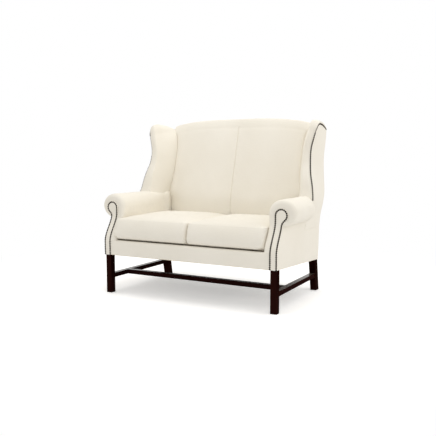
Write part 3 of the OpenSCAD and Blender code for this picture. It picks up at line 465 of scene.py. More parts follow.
def nail_material(name):
    """Antique nail heads: dark in the dips, brighter where they are rubbed."""
    mat, tree, bsdf = shader(name)
    link = tree.links.new
    where = added(tree, "TexCoord").outputs["Object"]
    patch = noise(tree, where, Scale=160.0, Detail=4.0, Roughness=0.6)
    link(ramp(tree, patch, [(0.35, (0.008, 0.005, 0.003)), (0.62, (0.022, 0.014, 0.009)),
                            (0.8, (0.060, 0.040, 0.026))]), bsdf.inputs["Base Color"])
    link(ramp(tree, patch, [(0.3, (0.55,) * 3), (0.75, (0.32,) * 3)]), bsdf.inputs["Roughness"])
    bumped(tree, patch, bsdf, 0.3, 0.0003)
    inputs(bsdf, Metallic=0.45, Specular_IOR_Level=0.08, Specular_Tint=(1.0, 0.82, 0.66, 1.0))
    return mat


fabric = cloth_material("cream_weave", (0.83, 0.785, 0.69), (0.90, 0.865, 0.785),
                        0.0012, 0.00035, 0.8, 0.12)
lining_cloth = cloth_material("black_lining_cloth", (0.016, 0.015, 0.016),
                              (0.028, 0.027, 0.028), 0.0010, 0.0002, 0.3, 0.05)
canvas_cloth = cloth_material("canvas_webbing", (0.30, 0.25, 0.18), (0.42, 0.36, 0.27),
                              0.0022, 0.0005, 0.5, 0.1)
stain = ((0.0062, 0.0009, 0.0006), (0.0138, 0.0024, 0.0014))
# The last colour is the painted grey reflection on the upper faces of the legs and stretchers
polished = {axis: wood_material("dark_polish_" + axis.lower(), *stain, 0.20, 0.32, 26.0,
                                axis, 0.0003, 0.5, (0.15, 0.125, 0.10)) for axis in "XYZ"}
# The last colour is the painted reflection tone on upper faces, close to the beech's own colour
beech = {axis: wood_material("planed_beech_" + axis.lower(), (0.50, 0.33, 0.17),
                             (0.66, 0.47, 0.28), 0.55, 0.75, 34.0, axis, 0.3, 0.3,
                             (0.60, 0.42, 0.24))
         for axis in "XYZ"}
antique = nail_material("antique_nail")
light_tone = (1.0, 0.985, 0.96)


def paint(obj, mat):
    obj.data.materials.clear()
    obj.data.materials.append(mat)


def piece(obj, mat, nodes, body=BODY):
    """Paints a piece and puts it on its body, in place of the CAD nodes that it stands for."""
    paint(obj, mat)
    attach(obj, body)
    if nodes:
        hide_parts(*nodes)
    return obj


roll_turn = np.radians(np.linspace(-86, 180, turn_steps))


def arm_front(z):
    """Depth of the front cloth beside the facing."""
    return facing_y(z) + 3.0 + 5.0 * ease((z - 440.0) / 70.0)


def arm_outline():
    """The arm's section: round the roll from its underside, then down the inside."""
    arc = [(scroll_x + roll_r * math.cos(a), scroll_z + roll_r * math.sin(a), scroll_x)
           for a in roll_turn]
    down = [(arm_in - 1 + min(1, (scroll_z - z) / turn_h), z,
             scroll_x - 14 * ease((scroll_z - z) / turn_h))
            for z in (548, 535, 515, 490, 465, 440, 415, 390, 365, 343)]
    return np.array(arc + down).T


def arm_cover(side, name):
    """The cloth of one arm: the disc round the facing, a soft rim, the roll and the inside."""
    x, z, qx = arm_outline()
    on_roll = np.arange(len(x)) < turn_steps
    row_y, row_run, wing_y0, wing_run = 112.0, 543.0, 404.0, 42.0
    rim_r, low_rim_r = 26.0, 18.0
    qz = np.where(on_roll, scroll_z, mix(scroll_z, z, ease((scroll_z - z) / turn_h)))
    rim = np.where(on_roll, rim_r, mix(rim_r, low_rim_r, ease((scroll_z - z) / 70)))
    inward = np.stack([qx - x, qz - z], axis=1)
    inward /= np.linalg.norm(inward, axis=1)[:, None]
    rows = []
    front = arm_front(z)
    for share in (0.12, 0.4, 0.7, 0.9):
        ix, iz = x + inward[:, 0] * rim, z + inward[:, 1] * rim
        px, pz = mix(qx, ix, share), mix(qz, iz, share)
        hollow = 2.5 * (1 - share ** 2)
        rows.append(row_of(px, mix(arm_front(pz), front, share) - hollow, pz))
    for a in np.radians([6, 22, 38, 54, 72, 90]):
        d = rim * (1 - math.sin(a))
        rows.append(row_of(x + inward[:, 0] * d, front + rim * (1 - math.cos(a)),
                           z + inward[:, 1] * d))
    start = front + rim
    for y in (122, 140, 165, 200, 245, 290, 335, 370, 392, 404, 415, 425, 433, 440, 446, 460,
              500, 550, 565, 580, 595, 612, 635, 668):
        py = y + (start - row_y) * (1 - (y - row_y) / row_run) ** 3
        # Under the wing the roll's outer half is squeezed to about half its width
        squeeze = 0.52 + 0.48 * np.sqrt(1 - np.clip((py - wing_y0) / wing_run, 0, 1) ** 2)
        px = np.where(x > scroll_x, scroll_x + (x - scroll_x) * squeeze, x)
        pz = z.copy()
        # Towards the back the roll's inner shoulder is filled out under the wing
        power = mix(2.0, 3.1, ease((y - 300.0) / 260.0)) + 2.2 * ease((y - 500.0) / 100.0)
        inner = roll_turn > math.pi / 2
        c, n = np.abs(np.cos(roll_turn[inner])), np.abs(np.sin(roll_turn[inner]))
        grown = (c ** power + n ** power) ** (-1 / power)
        px[:turn_steps][inner] = scroll_x - roll_r * c * grown
        pz[:turn_steps][inner] = scroll_z + roll_r * n * grown
        # Behind the wing's front edge it stays inside the wing's cloth
        u = np.clip((py - wing_y(pz)) / (rear_y(pz) - wing_y(pz)), 0, 1)
        inside = mix(wing_x(pz), wing_rear_x(pz), u) - 7.0
        px = np.where(px > inside, mix(px, inside, ease((py - 424) / 22.0)), px)
        # Its inner face comes out a little to meet the back
        px = np.where(x < scroll_x, px - 17.0 * ease((py - 560) / 42.0) * ease(
            (scroll_x - px) / 40.0), px)
        rows.append(row_of(px, py, pz))
    cover = rounder(grid("arm_cover_" + name, rows, side, flip=True), 3)

    def shape(p):
        ax = np.abs(p[:, 0])
        soft = 0.9 * ripple(p, 130, 11 + side) + 0.35 * ripple(p, 48, 21 + side)
        plain = ease((p[:, 1] - 60) / 60.0)
        pull = bell(p[:, 1] - 425, 26.0) * (p[:, 2] > 560)
        tuck = bell(p[:, 1] - 640, 30.0)
        crease = bell(p[:, 2] - 481, 7.0) * (ax > 585)
        gathers = pull * np.abs(np.sin(ax / 9.0))
        return soft * plain * 0.8 - 1.4 * gathers - 2.0 * tuck - 1.5 * crease
    displaced(cover, shape)
    # The roll is a little wider than it is high at its front
    p = points_of(cover.data)
    wide = 1 + 0.07 * ease((p[:, 2] - 470) / 50.0) * ease((330 - p[:, 1]) / 160.0) * np.where(
        np.abs(p[:, 0]) > scroll_x, 1.9, 1.0)
    p[:, 0] = side * (scroll_x + (np.abs(p[:, 0]) - scroll_x) * wide)
    write(cover, p)
    thicker(cover, 6.0)
    piece(cover, fabric, ["arm_roll_" + name, "inside_arm_" + name])


def facing_bounds(z):
    """Inner and outer edge of the keyhole facing at a height."""
    meet_z = head_z - (head_z - neck_z) * head_r / (head_r + neck_r)
    round_half = math.sqrt(max(0.0, head_r ** 2 - (z - head_z) ** 2))
    if z <= neck_z:
        outer = facing_out
    elif z <= meet_z:
        outer = neck_x - math.sqrt(neck_r ** 2 - (z - neck_z) ** 2)
    else:
        outer = scroll_x + round_half
    return (facing_in if z <= head_z else scroll_x - round_half), outer


def facing_heights():
    low = np.linspace(carcass_z(0) + 1.5, 485, 50)
    neck = np.linspace(489, head_z, 15)
    head = head_z + head_r * np.sin(np.radians([10, 20, 30, 40, 50, 60, 68, 75, 81, 86, 89.3]))
    return np.concatenate([low, neck, head])


def nail_dimples(p, line, width, depth, rise, pitch):
    """How far the cloth is drawn in along a line of nails, and further at each nail."""
    d, k = gap_to(p, line)
    at_nail = 0.5 + 0.5 * np.cos(2 * math.pi * k * line_step / pitch)
    return bell(d, width) * (depth + rise * at_nail)


def arm_facing(side, name):
    rows = []
    for z in facing_heights():
        inner, outer = facing_bounds(z)
        half = (outer - inner) / 2
        mid = (outer + inner) / 2
        y = facing_y(z)
        row = [(mid - half, y + 13, z), (mid - half, y + 4.5, z)]
        for s in (-0.97, -0.9, -0.75, -0.5, -0.2, 0.2, 0.5, 0.75, 0.9, 0.97):
            drop = 2.6 * math.exp(-(1 - abs(s)) * half / 1.6)
            row.append((mid + s * half, y + drop - 1.6 * (1 - s * s) + 0.8, z))
        row += [(mid + half, y + 4.5, z), (mid + half, y + 13, z)]
        rows.append(row)
    facing = rounder(grid("arm_facing_pad_" + name, rows, side), 2)

    def shape(p):
        return 0.5 * ripple(p, 60, 31 + side) - nail_dimples(
            p, facing_nail_line(side, line_step), 4.5, 0.7, 0.4, nail_pitch)
    displaced(facing, shape)
    thicker(facing, 4.0)
    piece(facing, fabric, ["arm_facing_" + name])


def facing_nail_line(side, step):
    """The line of nails round a facing, on its front surface."""
    inset = nail_inset
    foot = carcass_z(0) + 6.0
    neck_a = math.acos((neck_x - scroll_x) / (head_r + neck_r))
    line = [(facing_in + inset, z) for z in np.linspace(foot, head_z, 40)]
    for a in np.linspace(math.pi, -neck_a, 30)[1:]:
        line.append((scroll_x + (head_r - inset) * math.cos(a),
                     head_z + (head_r - inset) * math.sin(a)))
    for a in np.linspace(math.pi - neck_a, math.pi, 10)[1:]:
        line.append((neck_x + (neck_r + inset) * math.cos(a),
                     neck_z + (neck_r + inset) * math.sin(a)))
    line += [(facing_out - inset, z) for z in np.linspace(neck_z, foot, 34)[1:]]
    return resampled([(side * x, facing_y(z), z) for x, z in line], step)


def nail_mesh(name, spots, ways, seed):
    """Domed nail heads at the spots, each facing its way."""
    rng = np.random.default_rng(seed)
    # Share of the radius and height over the cloth, from the rim to the dome's top
    rings = [(1.0, -0.35), (1.0, 0.2), (0.93, 0.55), (0.78, 1.05), (0.55, 1.55), (0.28, 1.9)]
    sides, dome_h, foot_h = 14, 2.05, -0.4
    points, faces = [], []
    for spot, way in zip(spots, ways):
        way = way + rng.normal(scale=0.035, size=3)
        way /= np.linalg.norm(way)
        a = np.cross(way, (0.0, 0.0, 1.0) if abs(way[2]) < 0.8 else (1.0, 0.0, 0.0))
        a /= np.linalg.norm(a)
        b = np.cross(way, a)
        base = len(points)
        spot = spot + way * rng.uniform(-0.1, 0.1)
        for share, height in rings:
            for k in range(sides):
                t = 2 * math.pi * k / sides
                points.append(spot + nail_r * share * (a * math.cos(t) + b * math.sin(t))
                              + way * height)
        points += [spot + way * dome_h, spot + way * foot_h]
        faces.extend(base + grid_faces(len(rings), sides, wrap=True))
        top = base + len(rings) * sides
        last = top - sides
        for k in range(sides):
            after = (k + 1) % sides
            faces.append((last + k, last + after, top))
            faces.append((base + after, base + k, top + 1))
    return make(name, points, faces)


def facing_normal(z):
    return np.array([0.0, -1.0, (facing_y(z + 1) - facing_y(z - 1)) / 2])


def arm_nails(side, name):
    spots = facing_nail_line(side, nail_pitch)
    nails = nail_mesh("arm_nail_heads_" + name, spots, [facing_normal(p[2]) for p in spots],
                      41 + side)
    piece(nails, antique, ["arm_nails_" + name])


def outside_arm(side, name):
    """The flat cloth below the roll, from the facing to the back."""
    cols = np.array([0, 0.012, 0.03, 0.055, 0.08, 0.12, 0.18, 0.26, 0.36, 0.44, 0.5, 0.55, 0.58,
                     0.605, 0.63, 0.655, 0.69, 0.76, 0.85, 0.93, 0.975, 1])
    lifts = [0, 0.01, 0.04, 0.1, 0.18, 0.26, 0.34, 0.42, 0.5, 0.58, 0.66, 0.74, 0.82, 0.9,
             0.96, 1]
    top_z = 486.0
    bottom = carcass_z(mix(5, body_d, cols))
    rows = [row_of(half_w - 16, mix(facing_y(250) + 13, rear_y(210) - 1, cols), bottom + 0.5)]
    for h in lifts:
        z = mix(bottom, top_z, h)
        y = mix(facing_y(z) + 11.5, rear_y(z) - 1, cols)
        z = mix(carcass_z(y), top_z, h)
        behind = y - facing_y(z) - 13
        puff = 2.4 * ease((behind - 30) / 14.0) * ease((rear_y(z) - y) / 60.0)
        puff *= ease((z - carcass_z(y)) / 30.0)
        under = 7.0 * ease((z - 430) / 10.0) * ease((y - 452) / 8.0)
        # The cloth comes out to meet the wing's front edge
        meet = np.where(z > 425, wing_x(z) + 1.4 - half_w - puff, 0.0)
        meet *= ease((y - 372) / 58.0) * ease((462 - y) / 12.0)
        rows.append(row_of(half_w + puff - under + meet, y, z))
    panel = rounder(grid("outside_arm_cloth_" + name, rows, side), 3)
    displaced(panel, lambda p: 0.5 * ripple(p, 150, 51 + side) * ease((p[:, 1] - 40) / 60.0))
    thicker(panel, 3.0)
    piece(panel, fabric, ["outside_arm_" + name])


def wing_nail_shares():
    """Shares along the nail line: up the wing's front edge, then back along its top."""
    front = [(wing_nail_u, h)
             for h in np.linspace(wing_nail_foot, wing_nail_top, front_nail_steps)]
    top = [(u, wing_nail_top) for u in np.linspace(wing_nail_u, wing_nail_rear, top_nail_steps)]
    return front + top[1:]


def wing_edge_line(side, step):
    """The line of nails up the wing's front edge and back along its top."""
    line = np.array([wing_point(u, h) for u, h in wing_nail_shares()])
    line[:, 0] = side * (line[:, 0] + 0.3)
    line[:front_nail_steps, 1] -= 1.5
    return resampled(line, step)


def outside_wing(side, name):
    us = [0, 0.012, 0.03, 0.06, 0.1, 0.16, 0.24, 0.34, 0.46, 0.6, 0.74, 0.86, 0.94, 0.98, 1]
    hs = (-0.009, *np.linspace(0, 0.9, 27), 0.92, 0.94, 0.957, 0.972, 0.985, 0.994, 1)
    sheet = np.array([[wing_point(u, max(0.0, h)) for u in us] for h in hs])
    # The foot lies over the outside arm's cloth, so that one runs into the other
    sheet[0, :, 2] -= 5.0
    sheet[:, :, 0] += 2.8 * ease((520 - sheet[:, :, 2]) / 80.0) * ease(
        (body_d + 20 - sheet[:, :, 1]) / 60.0)
    panel = rounder(grid("outside_wing_cloth_" + name, sheet, side), 2)

    def shape(p):
        fall = nail_dimples(p, wing_edge_line(side, line_step), 5.0, 0.6, 0.5, wing_nail_pitch)
        return 0.6 * ripple(p, 140, 61 + side) * ease((p[:, 2] - 430) / 60.0) - fall
    displaced(panel, shape)
    thicker(panel, 3.0)
    piece(panel, fabric, ["outside_wing_" + name])


def wing_nails(side, name):
    spots = wing_edge_line(side, wing_nail_pitch)
    d = 0.004
    ways = []
    params = wing_nail_shares()
    line = np.array([wing_point(u, h) for u, h in params])
    line[:, 0] *= side
    for k in gap_to(spots, line)[1]:
        u, h = params[k]
        along = wing_point(u + d, h) - wing_point(max(0.0, u - d), h)
        up = wing_point(u, min(1.0, h + d)) - wing_point(u, h - d)
        way = np.cross(along, up)
        way /= np.linalg.norm(way)
        # On the front edge the nails are turned towards the front
        way = way * (side, 1, 1) - np.array([0.0, 0.7, 0.0]) * (k < front_nail_steps - 2)
        ways.append(way / np.linalg.norm(way))
    nails = nail_mesh("wing_nail_heads_" + name, spots, ways, 71 + side)
    piece(nails, antique, ["wing_nails_" + name])


PAD_ANGLES = (0, 25, 55, 90, 125, 155, 180)
PAD_FACES = (0.12, 0.28, 0.46, 0.64, 0.8, 0.92, 1.0)


def pad_inner(z):
    """Where the wing pad's front roll ends inwards at a height."""
    return wing_x(z) - pad_thick * wing_thick(wing_share(z))


def pad_row(z_front, z_back):
    """A row of the wing pad: round the front roll, then across the face to the junction."""
    row = []
    for a in np.radians(PAD_ANGLES):
        x0, x1 = wing_x(z_front) - 1.0, pad_inner(z_front)
        row.append(((x0 + x1) / 2 + (x0 - x1) / 2 * math.cos(a),
                    wing_y(z_front) - 9.0 * math.sin(a), z_front))
    for t in PAD_FACES:
        z = mix(z_front, z_back, t)
        x1, y1 = pad_inner(z), wing_y(z)
        edge, face = back_edge(z) + 1.0, back_face(z) + 9.0
        swell = 7.0 * math.sin(math.pi * t) ** 0.8
        x, y = mix(x1, edge, t), mix(y1, face, t)
        across = np.array([edge - x1, face - y1])
        across /= np.linalg.norm(across)
        row.append((x + across[1] * -swell * 0.9, y + across[0] * swell * 0.9, z))
    row.append((back_edge(z_back) - 7.0, back_face(z_back) + 30.0, z_back))
    return row


def wing_pad(side, name):
    foot, inner_foot = 575.0, 606.0
    shoulder, junction = wing_h - wing_front_drop - 6.0, wing_h - 20.0
    rows = np.array([pad_row(mix(foot, shoulder, h), mix(inner_foot, junction, h))
                     for h in (*np.linspace(0, 0.88, 20), 0.93, 0.97, 1.0)])
    last = rows[-1]
    k = len(PAD_ANGLES) + len(PAD_FACES) + 1
    rim_us = np.interp(np.arange(k), [0, 3, 6, 9, 12, k - 1], [0, 0.05, 0.13, 0.34, 0.72, 1.0])
    rim = np.array([wing_point(u, 1.0) for u in rim_us]) - np.array([1.5, 0, 0])
    curls = []
    for c in (0.2, 0.45, 0.7, 0.88, 1.0):
        s, t = 1 - math.cos(math.pi / 2 * c), math.sin(math.pi / 2 * c)
        dome = math.sin(math.pi * c) * np.interp(np.arange(k), [0, 4, 8, 11, k - 1],
                                                 [0, 14, 26, 20, 6])
        curl = mix(last, rim, s)
        curl[:, 2] = mix(last[:, 2], rim[:, 2], t) + dome
        curls.append(curl)
    sheet = np.concatenate([rows, np.array(curls)])
    pad = rounder(grid("wing_pad_" + name + "_cover", sheet, side, flip=True), 2)

    def shape(p):
        edge = back_edge(p[:, 2])
        near = bell(np.abs(p[:, 0]) - edge, 16.0)
        low = bell(p[:, 2] - 640, 30.0)
        pucker = nail_dimples(p, wing_edge_line(side, line_step), 9.0, 0.0, 0.5, nail_pitch)
        folds = low * np.sin(np.abs(p[:, 0]) / 7.5 + 2 * ripple(p, 90, 5)) * 0.5
        return 0.8 * ripple(p, 120, 81 + side) * (1 - near) - pucker + folds
    displaced(pad, shape)
    thicker(pad, 6.0)
    piece(pad, fabric, ["wing_pad_" + name])


def inside_back():
    """One padded panel with a seam down its middle and a roll along the crest."""
    half = np.array([0, 0.018, 0.05, 0.13, 0.26, 0.42, 0.58, 0.74, 0.86, 0.93, 0.97, 0.992, 1])
    us = np.concatenate([-half[:0:-1], half])
    lobe = 9.0 * (1 - np.abs(np.sin(np.pi * np.abs(us))) ** 0.5)
    lobe[np.abs(us) > 0.5] *= 0.35
    lobe -= 5.0 * np.sin(np.pi * np.abs(us)) ** 2
    turned = np.interp(np.abs(us), [0, 0.9, 0.95, 0.98, 0.992, 1], [0, 0, 1.0, 4.0, 9.0, 20.0])
    # Beside the arms the padding is drawn back to the frame
    drawn = 44.0 * np.clip((np.abs(us) - 0.78) / 0.22, 0, 1) ** 1.4
    roll = 62.0
    rows = []
    for s in np.linspace(0, 1, 26):
        shoulder = crest_z(us * crest_half) - roll
        z = mix(deck_h + 2, shoulder, s)
        low = ease((640.0 - z) / 80.0)
        rows.append(row_of(us * (back_edge(z) - 0.5),
                           back_face(z) + lobe + mix(turned, drawn, low), z))
    x = us * (back_edge(np.full_like(us, back_h)) - 0.5)
    closed = np.interp(np.abs(us), [0, 0.97, 0.992, 1], [1, 1, 0.93, 0.05])
    for h in (0.1, 0.25, 0.4, 0.55, 0.7, 0.85, 1.0, 1.25, 1.5, 1.75, 1.95):
        top = crest_z(us * crest_half) + 1.5 * (1 - us ** 4)
        z0 = top - roll
        y0, y1 = back_face(z0) + lobe, rear_y(z0) - 1.0
        deep = 0.72 * (y1 - y0)
        # Up and back over the front of the roll, then steeply down behind
        behind = math.sin(math.pi / 2 * max(0.0, h - 1))
        y = y0 + deep * min(h, 1.0) + (y1 - y0 - deep) * behind
        rows.append(row_of(x, y + turned * 0.3 * max(0.0, 1 - h),
                           z0 + roll * closed * math.sin(math.pi / 2 * h) - turned * 0.25))
    back = rounder(grid("inside_back_cover", rows), 3)

    def shape(p):
        x, z = p[:, 0], p[:, 2]
        front = ease((z - 350) / 20.0)
        seam = bell(x, 1.7) * 5.0 + bell(x, 7.0) * 0.8
        seam = seam * mix(0.15, 1.0, ease((crest_z(x) - 48.0 - z) / 16.0))
        crease = bell(z - crest_z(x) + 60.0, 12.0) * 1.2
        puckers = (bell(x, 22.0) * np.sin(z / 3.6 + np.sign(x) * 1.3)
                   * (0.35 + 0.2 * ripple(p, 60, 7)))
        corner = bell(np.abs(x) - 500, 60.0) * bell(z - 560, 110.0)
        drag = corner * np.sin((np.abs(x) + 0.7 * z) / 11.0) * 0.8
        return front * (1.4 * ripple(p, 260, 91) + 0.5 * ripple(p, 85, 92) - seam - crease
                        + puckers + drag)
    displaced(back, shape)
    thicker(back, 4.0)
    piece(back, fabric, ["inside_back"])


def outside_back():
    js = np.concatenate([[-1, -0.996, -0.98, -0.94], np.linspace(-0.88, 0.88, 23),
                         [0.94, 0.98, 0.996, 1]])
    z0 = carcass_z(body_d)
    wing_rear_z = wing_h - wing_rear_drop
    top = np.maximum(crest_z(js * wing_rear_x(wing_rear_z)) - crest_lip, wing_rear_z)
    turn = np.interp(np.abs(js), [0, 0.98, 0.996, 1], [0, 0, 0.6, 3.0])
    rows = [row_of(js * half_w, rear_y(z0) - 16.0, z0 + 0.5)]
    for h in np.concatenate([[0, 0.01, 0.03], np.linspace(0.07, 1, 24)]):
        z = mix(z0, top, h)
        rows.append(row_of(js * wing_rear_x(z), rear_y(z) - turn, z))
    back = rounder(grid("outside_back_cloth", rows, flip=True), 2)
    displaced(back, lambda p: 0.7 * ripple(p, 210, 95) * ease((p[:, 2] - 215) / 40.0) - 0.4)
    thicker(back, 3.0)
    piece(back, fabric, ["outside_back"])


def front_border():
    xs = np.concatenate([np.linspace(-552, -516, 9), np.linspace(-508, 508, 35),
                         np.linspace(516, 552, 9)])
    y0 = facing_low_y + 3.0
    round_r = np.interp(np.abs(xs), [0, 506, 526, 552], [16, 16, 3, 2])
    foot = carcass_z(y0) + 2.0
    rows = [row_of(xs, y0 + 14, foot - 0.5)]
    for h in (0, 0.02, 0.08, 0.2, 0.4, 0.6, 0.8, 1.0):
        z = mix(foot, deck_h - round_r, h)
        puff = 1.6 * np.sin(np.pi * h) * ease((508 - np.abs(xs)) / 60.0)
        rows.append(row_of(xs, y0 - puff, z))
    for a in np.radians([22, 45, 68, 90]):
        rows.append(row_of(xs, y0 + round_r * (1 - math.cos(a)),
                           deck_h - round_r + round_r * math.sin(a)))
    rows.append(row_of(xs, y0 + round_r + 4.0, deck_h - 0.5))
    border = rounder(grid("front_border_cover", rows), 2)
    displaced(border, lambda p: 0.6 * ripple(p, 120, 101) * ease((500 - np.abs(p[:, 0])) / 60))
    thicker(border, 5.0)
    piece(border, fabric, ["front_rail_cover"])


def cushion_lean(z):
    """How far a cushion's front stands back at a height."""
    return 27.0 * (z - deck_h) / (seat_h - deck_h)


def cushion_sheet(nx, ny, bands):
    """A boxed cushion for the right-hand seat as one closed mesh, and its seam's points."""
    x0, x1 = 1.6, arm_in - 3.0
    y_rear = back_front_y - 3.5
    z_low, z_top = deck_h + 0.6, seat_h - 2.0
    corner_r = 26.0

    def place(i, j, z):
        """A place at a height: rounds the corners and leans the front."""
        y_front = facing_low_y + 9.0 + cushion_lean(z)
        cx, half_x = (x0 + x1) / 2, (x1 - x0) / 2
        cy, half_y = (y_front + y_rear) / 2, (y_rear - y_front) / 2
        px, py = (2 * (i / nx) - 1) * half_x, (2 * (j / ny) - 1) * half_y
        ix, iy = half_x - corner_r, half_y - corner_r
        ox, oy = max(0.0, abs(px) - ix), max(0.0, abs(py) - iy)
        size = math.hypot(ox, oy)
        if ox > 0 and oy > 0:
            square = max(ox, oy)
            ox, oy = ox / size * square, oy / size * square
        return (cx + math.copysign(min(abs(px), ix) + ox, px),
                cy + math.copysign(min(abs(py), iy) + oy, py), z)

    def crown(i, j):
        a, b = abs(2 * (i / nx) - 1), abs(2 * (j / ny) - 1)
        return z_top + (crown_h - 3) * ((1 - a ** 2.6) * (1 - b ** 2.6)) ** 0.5

    points, faces = [], []

    def sheet(z_of, order):
        base = len(points)
        points.extend(place(i, j, z_of(i, j)) for j in range(ny + 1) for i in range(nx + 1))
        faces.extend(base + grid_faces(ny + 1, nx + 1)[:, ::order])
        return base

    top = sheet(crown, 1)
    low = sheet(lambda i, j: z_low, -1)
    loop = ([(i, 0) for i in range(nx)] + [(nx, j) for j in range(ny)]
            + [(i, ny) for i in range(nx, 0, -1)] + [(0, j) for j in range(ny, 0, -1)])
    seam = [top + j * (nx + 1) + i for i, j in loop]
    chain = [seam]
    for k in range(1, bands):
        base = len(points)
        points.extend(place(i, j, mix(z_top, z_low, k / bands)) for i, j in loop)
        chain.append([base + q for q in range(len(loop))])
    chain.append([low + j * (nx + 1) + i for i, j in loop])
    for upper, lower in zip(chain, chain[1:]):
        for q in range(len(loop)):
            r = (q + 1) % len(loop)
            faces.append((upper[q], lower[q], lower[r], upper[r]))
    return points, faces, seam


def filled(obj, points, seam):
    """Where the points lie once the cushion's bag has been blown up by the cloth solver."""
    held = obj.vertex_groups.new(name="held")
    bottom = np.flatnonzero(points[:, 2] < deck_h + 2)
    held.add([int(i) for i in bottom], 1.0, "REPLACE")
    held.add([int(i) for i in seam], 0.72, "REPLACE")
    soft = obj.modifiers.new("cloth", "CLOTH")
    configured(soft.settings, quality=6, mass=0.35, tension_stiffness=18,
               compression_stiffness=14, shear_stiffness=6, bending_stiffness=1.2,
               use_pressure=True, uniform_pressure_force=4.0, vertex_group_mass="held",
               pin_stiffness=1.0)
    soft.settings.effector_weights.gravity = 0.0
    configured(soft.collision_settings, use_collision=False, use_self_collision=False)
    first, last, furthest = 1, 20, 9.0
    configured(soft.point_cache, frame_start=first, frame_end=last)
    scene = bpy.context.scene
    for f in range(first, last + 1):
        scene.frame_set(f)
    moved = obj.evaluated_get(bpy.context.evaluated_depsgraph_get())
    step = points_of(moved.data) - points
    obj.modifiers.clear()
    obj.vertex_groups.clear()
    scene.frame_set(first)
    size = np.linalg.norm(step, axis=1)
    size[size == 0] = 1
    return points + step * (np.minimum(size, furthest) / size)[:, None]


def cushion(side, name, body):
    points, faces, seam = cushion_sheet(nx=62, ny=70, bands=18)
    points = np.array(points, float)
    points[:, 0] *= side
    if side < 0:
        faces = [f[::-1] for f in faces]
    obj = make("seat_cushion_" + name + "_filled", points, faces)
    start = filled(obj, points, seam)
    write(obj, start)
    rounder(obj, 1)

    def shape(p):
        d, k = gap_to(p, start[seam])
        ridge = 1.5 * bell(d, 2.2) - 1.1 * bell(d - 6.5, 3.2)
        pucker = 0.35 * bell(d, 16.0) * np.sin(k * 1.7 + 2 * ripple(p, 70, 9))
        upper = ease((p[:, 2] - deck_h - 12) / 30)
        soft = 1.2 * ripple(p, 170, 111 + side) + 0.45 * ripple(p, 60, 112 + side)
        return ridge + pucker + soft * upper * ease(d / 30.0)
    displaced(obj, shape)
    p = points_of(obj.data)
    # The front swells forwards, past the arm's line sideways, and its lower edge is lifted
    ax, y, z = np.abs(p[:, 0]), p[:, 1], p[:, 2]
    lean, front_depth = cushion_lean(z), 46.0
    height = np.clip((seat_h - z) / (seat_h - deck_h), 0, 1)
    y -= 13.0 * (1 - ease((y - lean) / front_depth)) * np.sin(math.pi * height) ** 0.8
    near_front = 1 - ease((y - lean) / front_depth)
    outer = ease((ax - (arm_in - 66)) / 64.0) ** 2
    corner = outer + 0.3 * ease((30 - ax) / 30.0) ** 2
    puffed = outer * (side < 0)
    z += height * near_front * (9.5 + (12.0 - 6.0 * (side < 0)) * corner)
    y += 12.0 * near_front * np.clip((height - 0.72) / 0.28, 0, 1) ** 2 * (1 - puffed)
    y -= 10.0 * near_front * puffed * ease((height - 0.45) / 0.3)
    before = ease((arm_front(z) - 2 - y) / 10.0)
    swell = (25.0 if side < 0 else 5.0) * ease((ax - 466) / 44.0) * before
    swell *= ease((z - deck_h - 4) / 20.0)
    ax = np.clip(ax + swell, 0.6, arm_in - 1.4 + 32.0 * (y < arm_front(z) - 1.5))
    p[:, 0] = side * ax
    p[:, 1] = np.minimum(p[:, 1], back_front_y - 1.6)
    p[:, 2] = np.maximum(p[:, 2], deck_h + 0.4)
    write(obj, p)
    piece(obj, fabric, ["seat_cushion_" + name], body)


def seat_deck():
    """The plain canvas that the cushions lie on."""
    xs = np.concatenate([[-arm_in - 12, -arm_in + 2], np.linspace(-490, 490, 29),
                         [arm_in - 2, arm_in + 12]])
    ys = np.concatenate([[10, 18, 30], np.linspace(60, 640, 18), [655]])
    rows = []
    for y in ys:
        dip = 2.5 * ease((500 - np.abs(xs)) / 80.0) * ease((y - 40) / 60.0)
        rows.append(row_of(xs, y, deck_h - 1.0 - dip))
    deck = rounder(grid("seat_deck_cloth", rows), 2)
    displaced(deck, lambda p: -0.3 - 0.5 * (1 + ripple(p, 140, 121)) * 0.5)
    thicker(deck, 3.0)
    piece(deck, canvas_cloth, ["seat_platform"])


def dust_cover():
    """Thin black cloth stretched under the seat frame."""
    x1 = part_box("dust_cover")[1].x / MM - 1.0
    y_a, y_b = 6.0, body_d + 20.0
    nx, ny = 40, 26
    xs = np.linspace(-x1, x1, nx + 1)
    rows = []
    for j, y in enumerate(np.linspace(y_a, y_b, ny + 1)):
        sag = 3.0 * math.sin(math.pi * j / ny) * np.sin(np.pi * np.arange(nx + 1) / nx)
        rows.append(row_of(xs, y, carcass_z(y) - 0.4 - sag))
    cover = rounder(grid("dust_cover_cloth", rows, flip=True), 1)
    thicker(cover, 0.8)
    piece(cover, lining_cloth, ["dust_cover"])


def wood_nodes():
    """Legs, stretchers, webbing and hidden frame keep their CAD shapes; seen edges are eased."""
    grain = {"front_leg": "Z", "rear_leg": "Z", "side_stretcher": "Y", "cross_stretcher": "X"}
    hidden = {"X": ("front_seat_rail", "rear_seat_rail", "back_top_rail", "back_bottom_rail",
                    "scroll_block", "corner_blocks"),
              "Y": ("side_seat_rail", "arm_board", "centre_seat_rail", "wing_top_rail"),
              "Z": ("arm_stump", "back_post", "back_stile", "wing_upright")}
    for name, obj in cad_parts.items():
        key = name.replace("_left", "").replace("_right", "")
        if key in grain:
            paint(obj, polished[grain[key]])
            configured(obj.modifiers.new("eased_edges", "BEVEL"), width=0.0011, segments=3,
                       limit_method="ANGLE", angle_limit=math.radians(28),
                       harden_normals=False)
        elif "webbing" in name:
            paint(obj, canvas_cloth)
        for axis, keys in hidden.items():
            if key in keys:
                paint(obj, beech[axis])


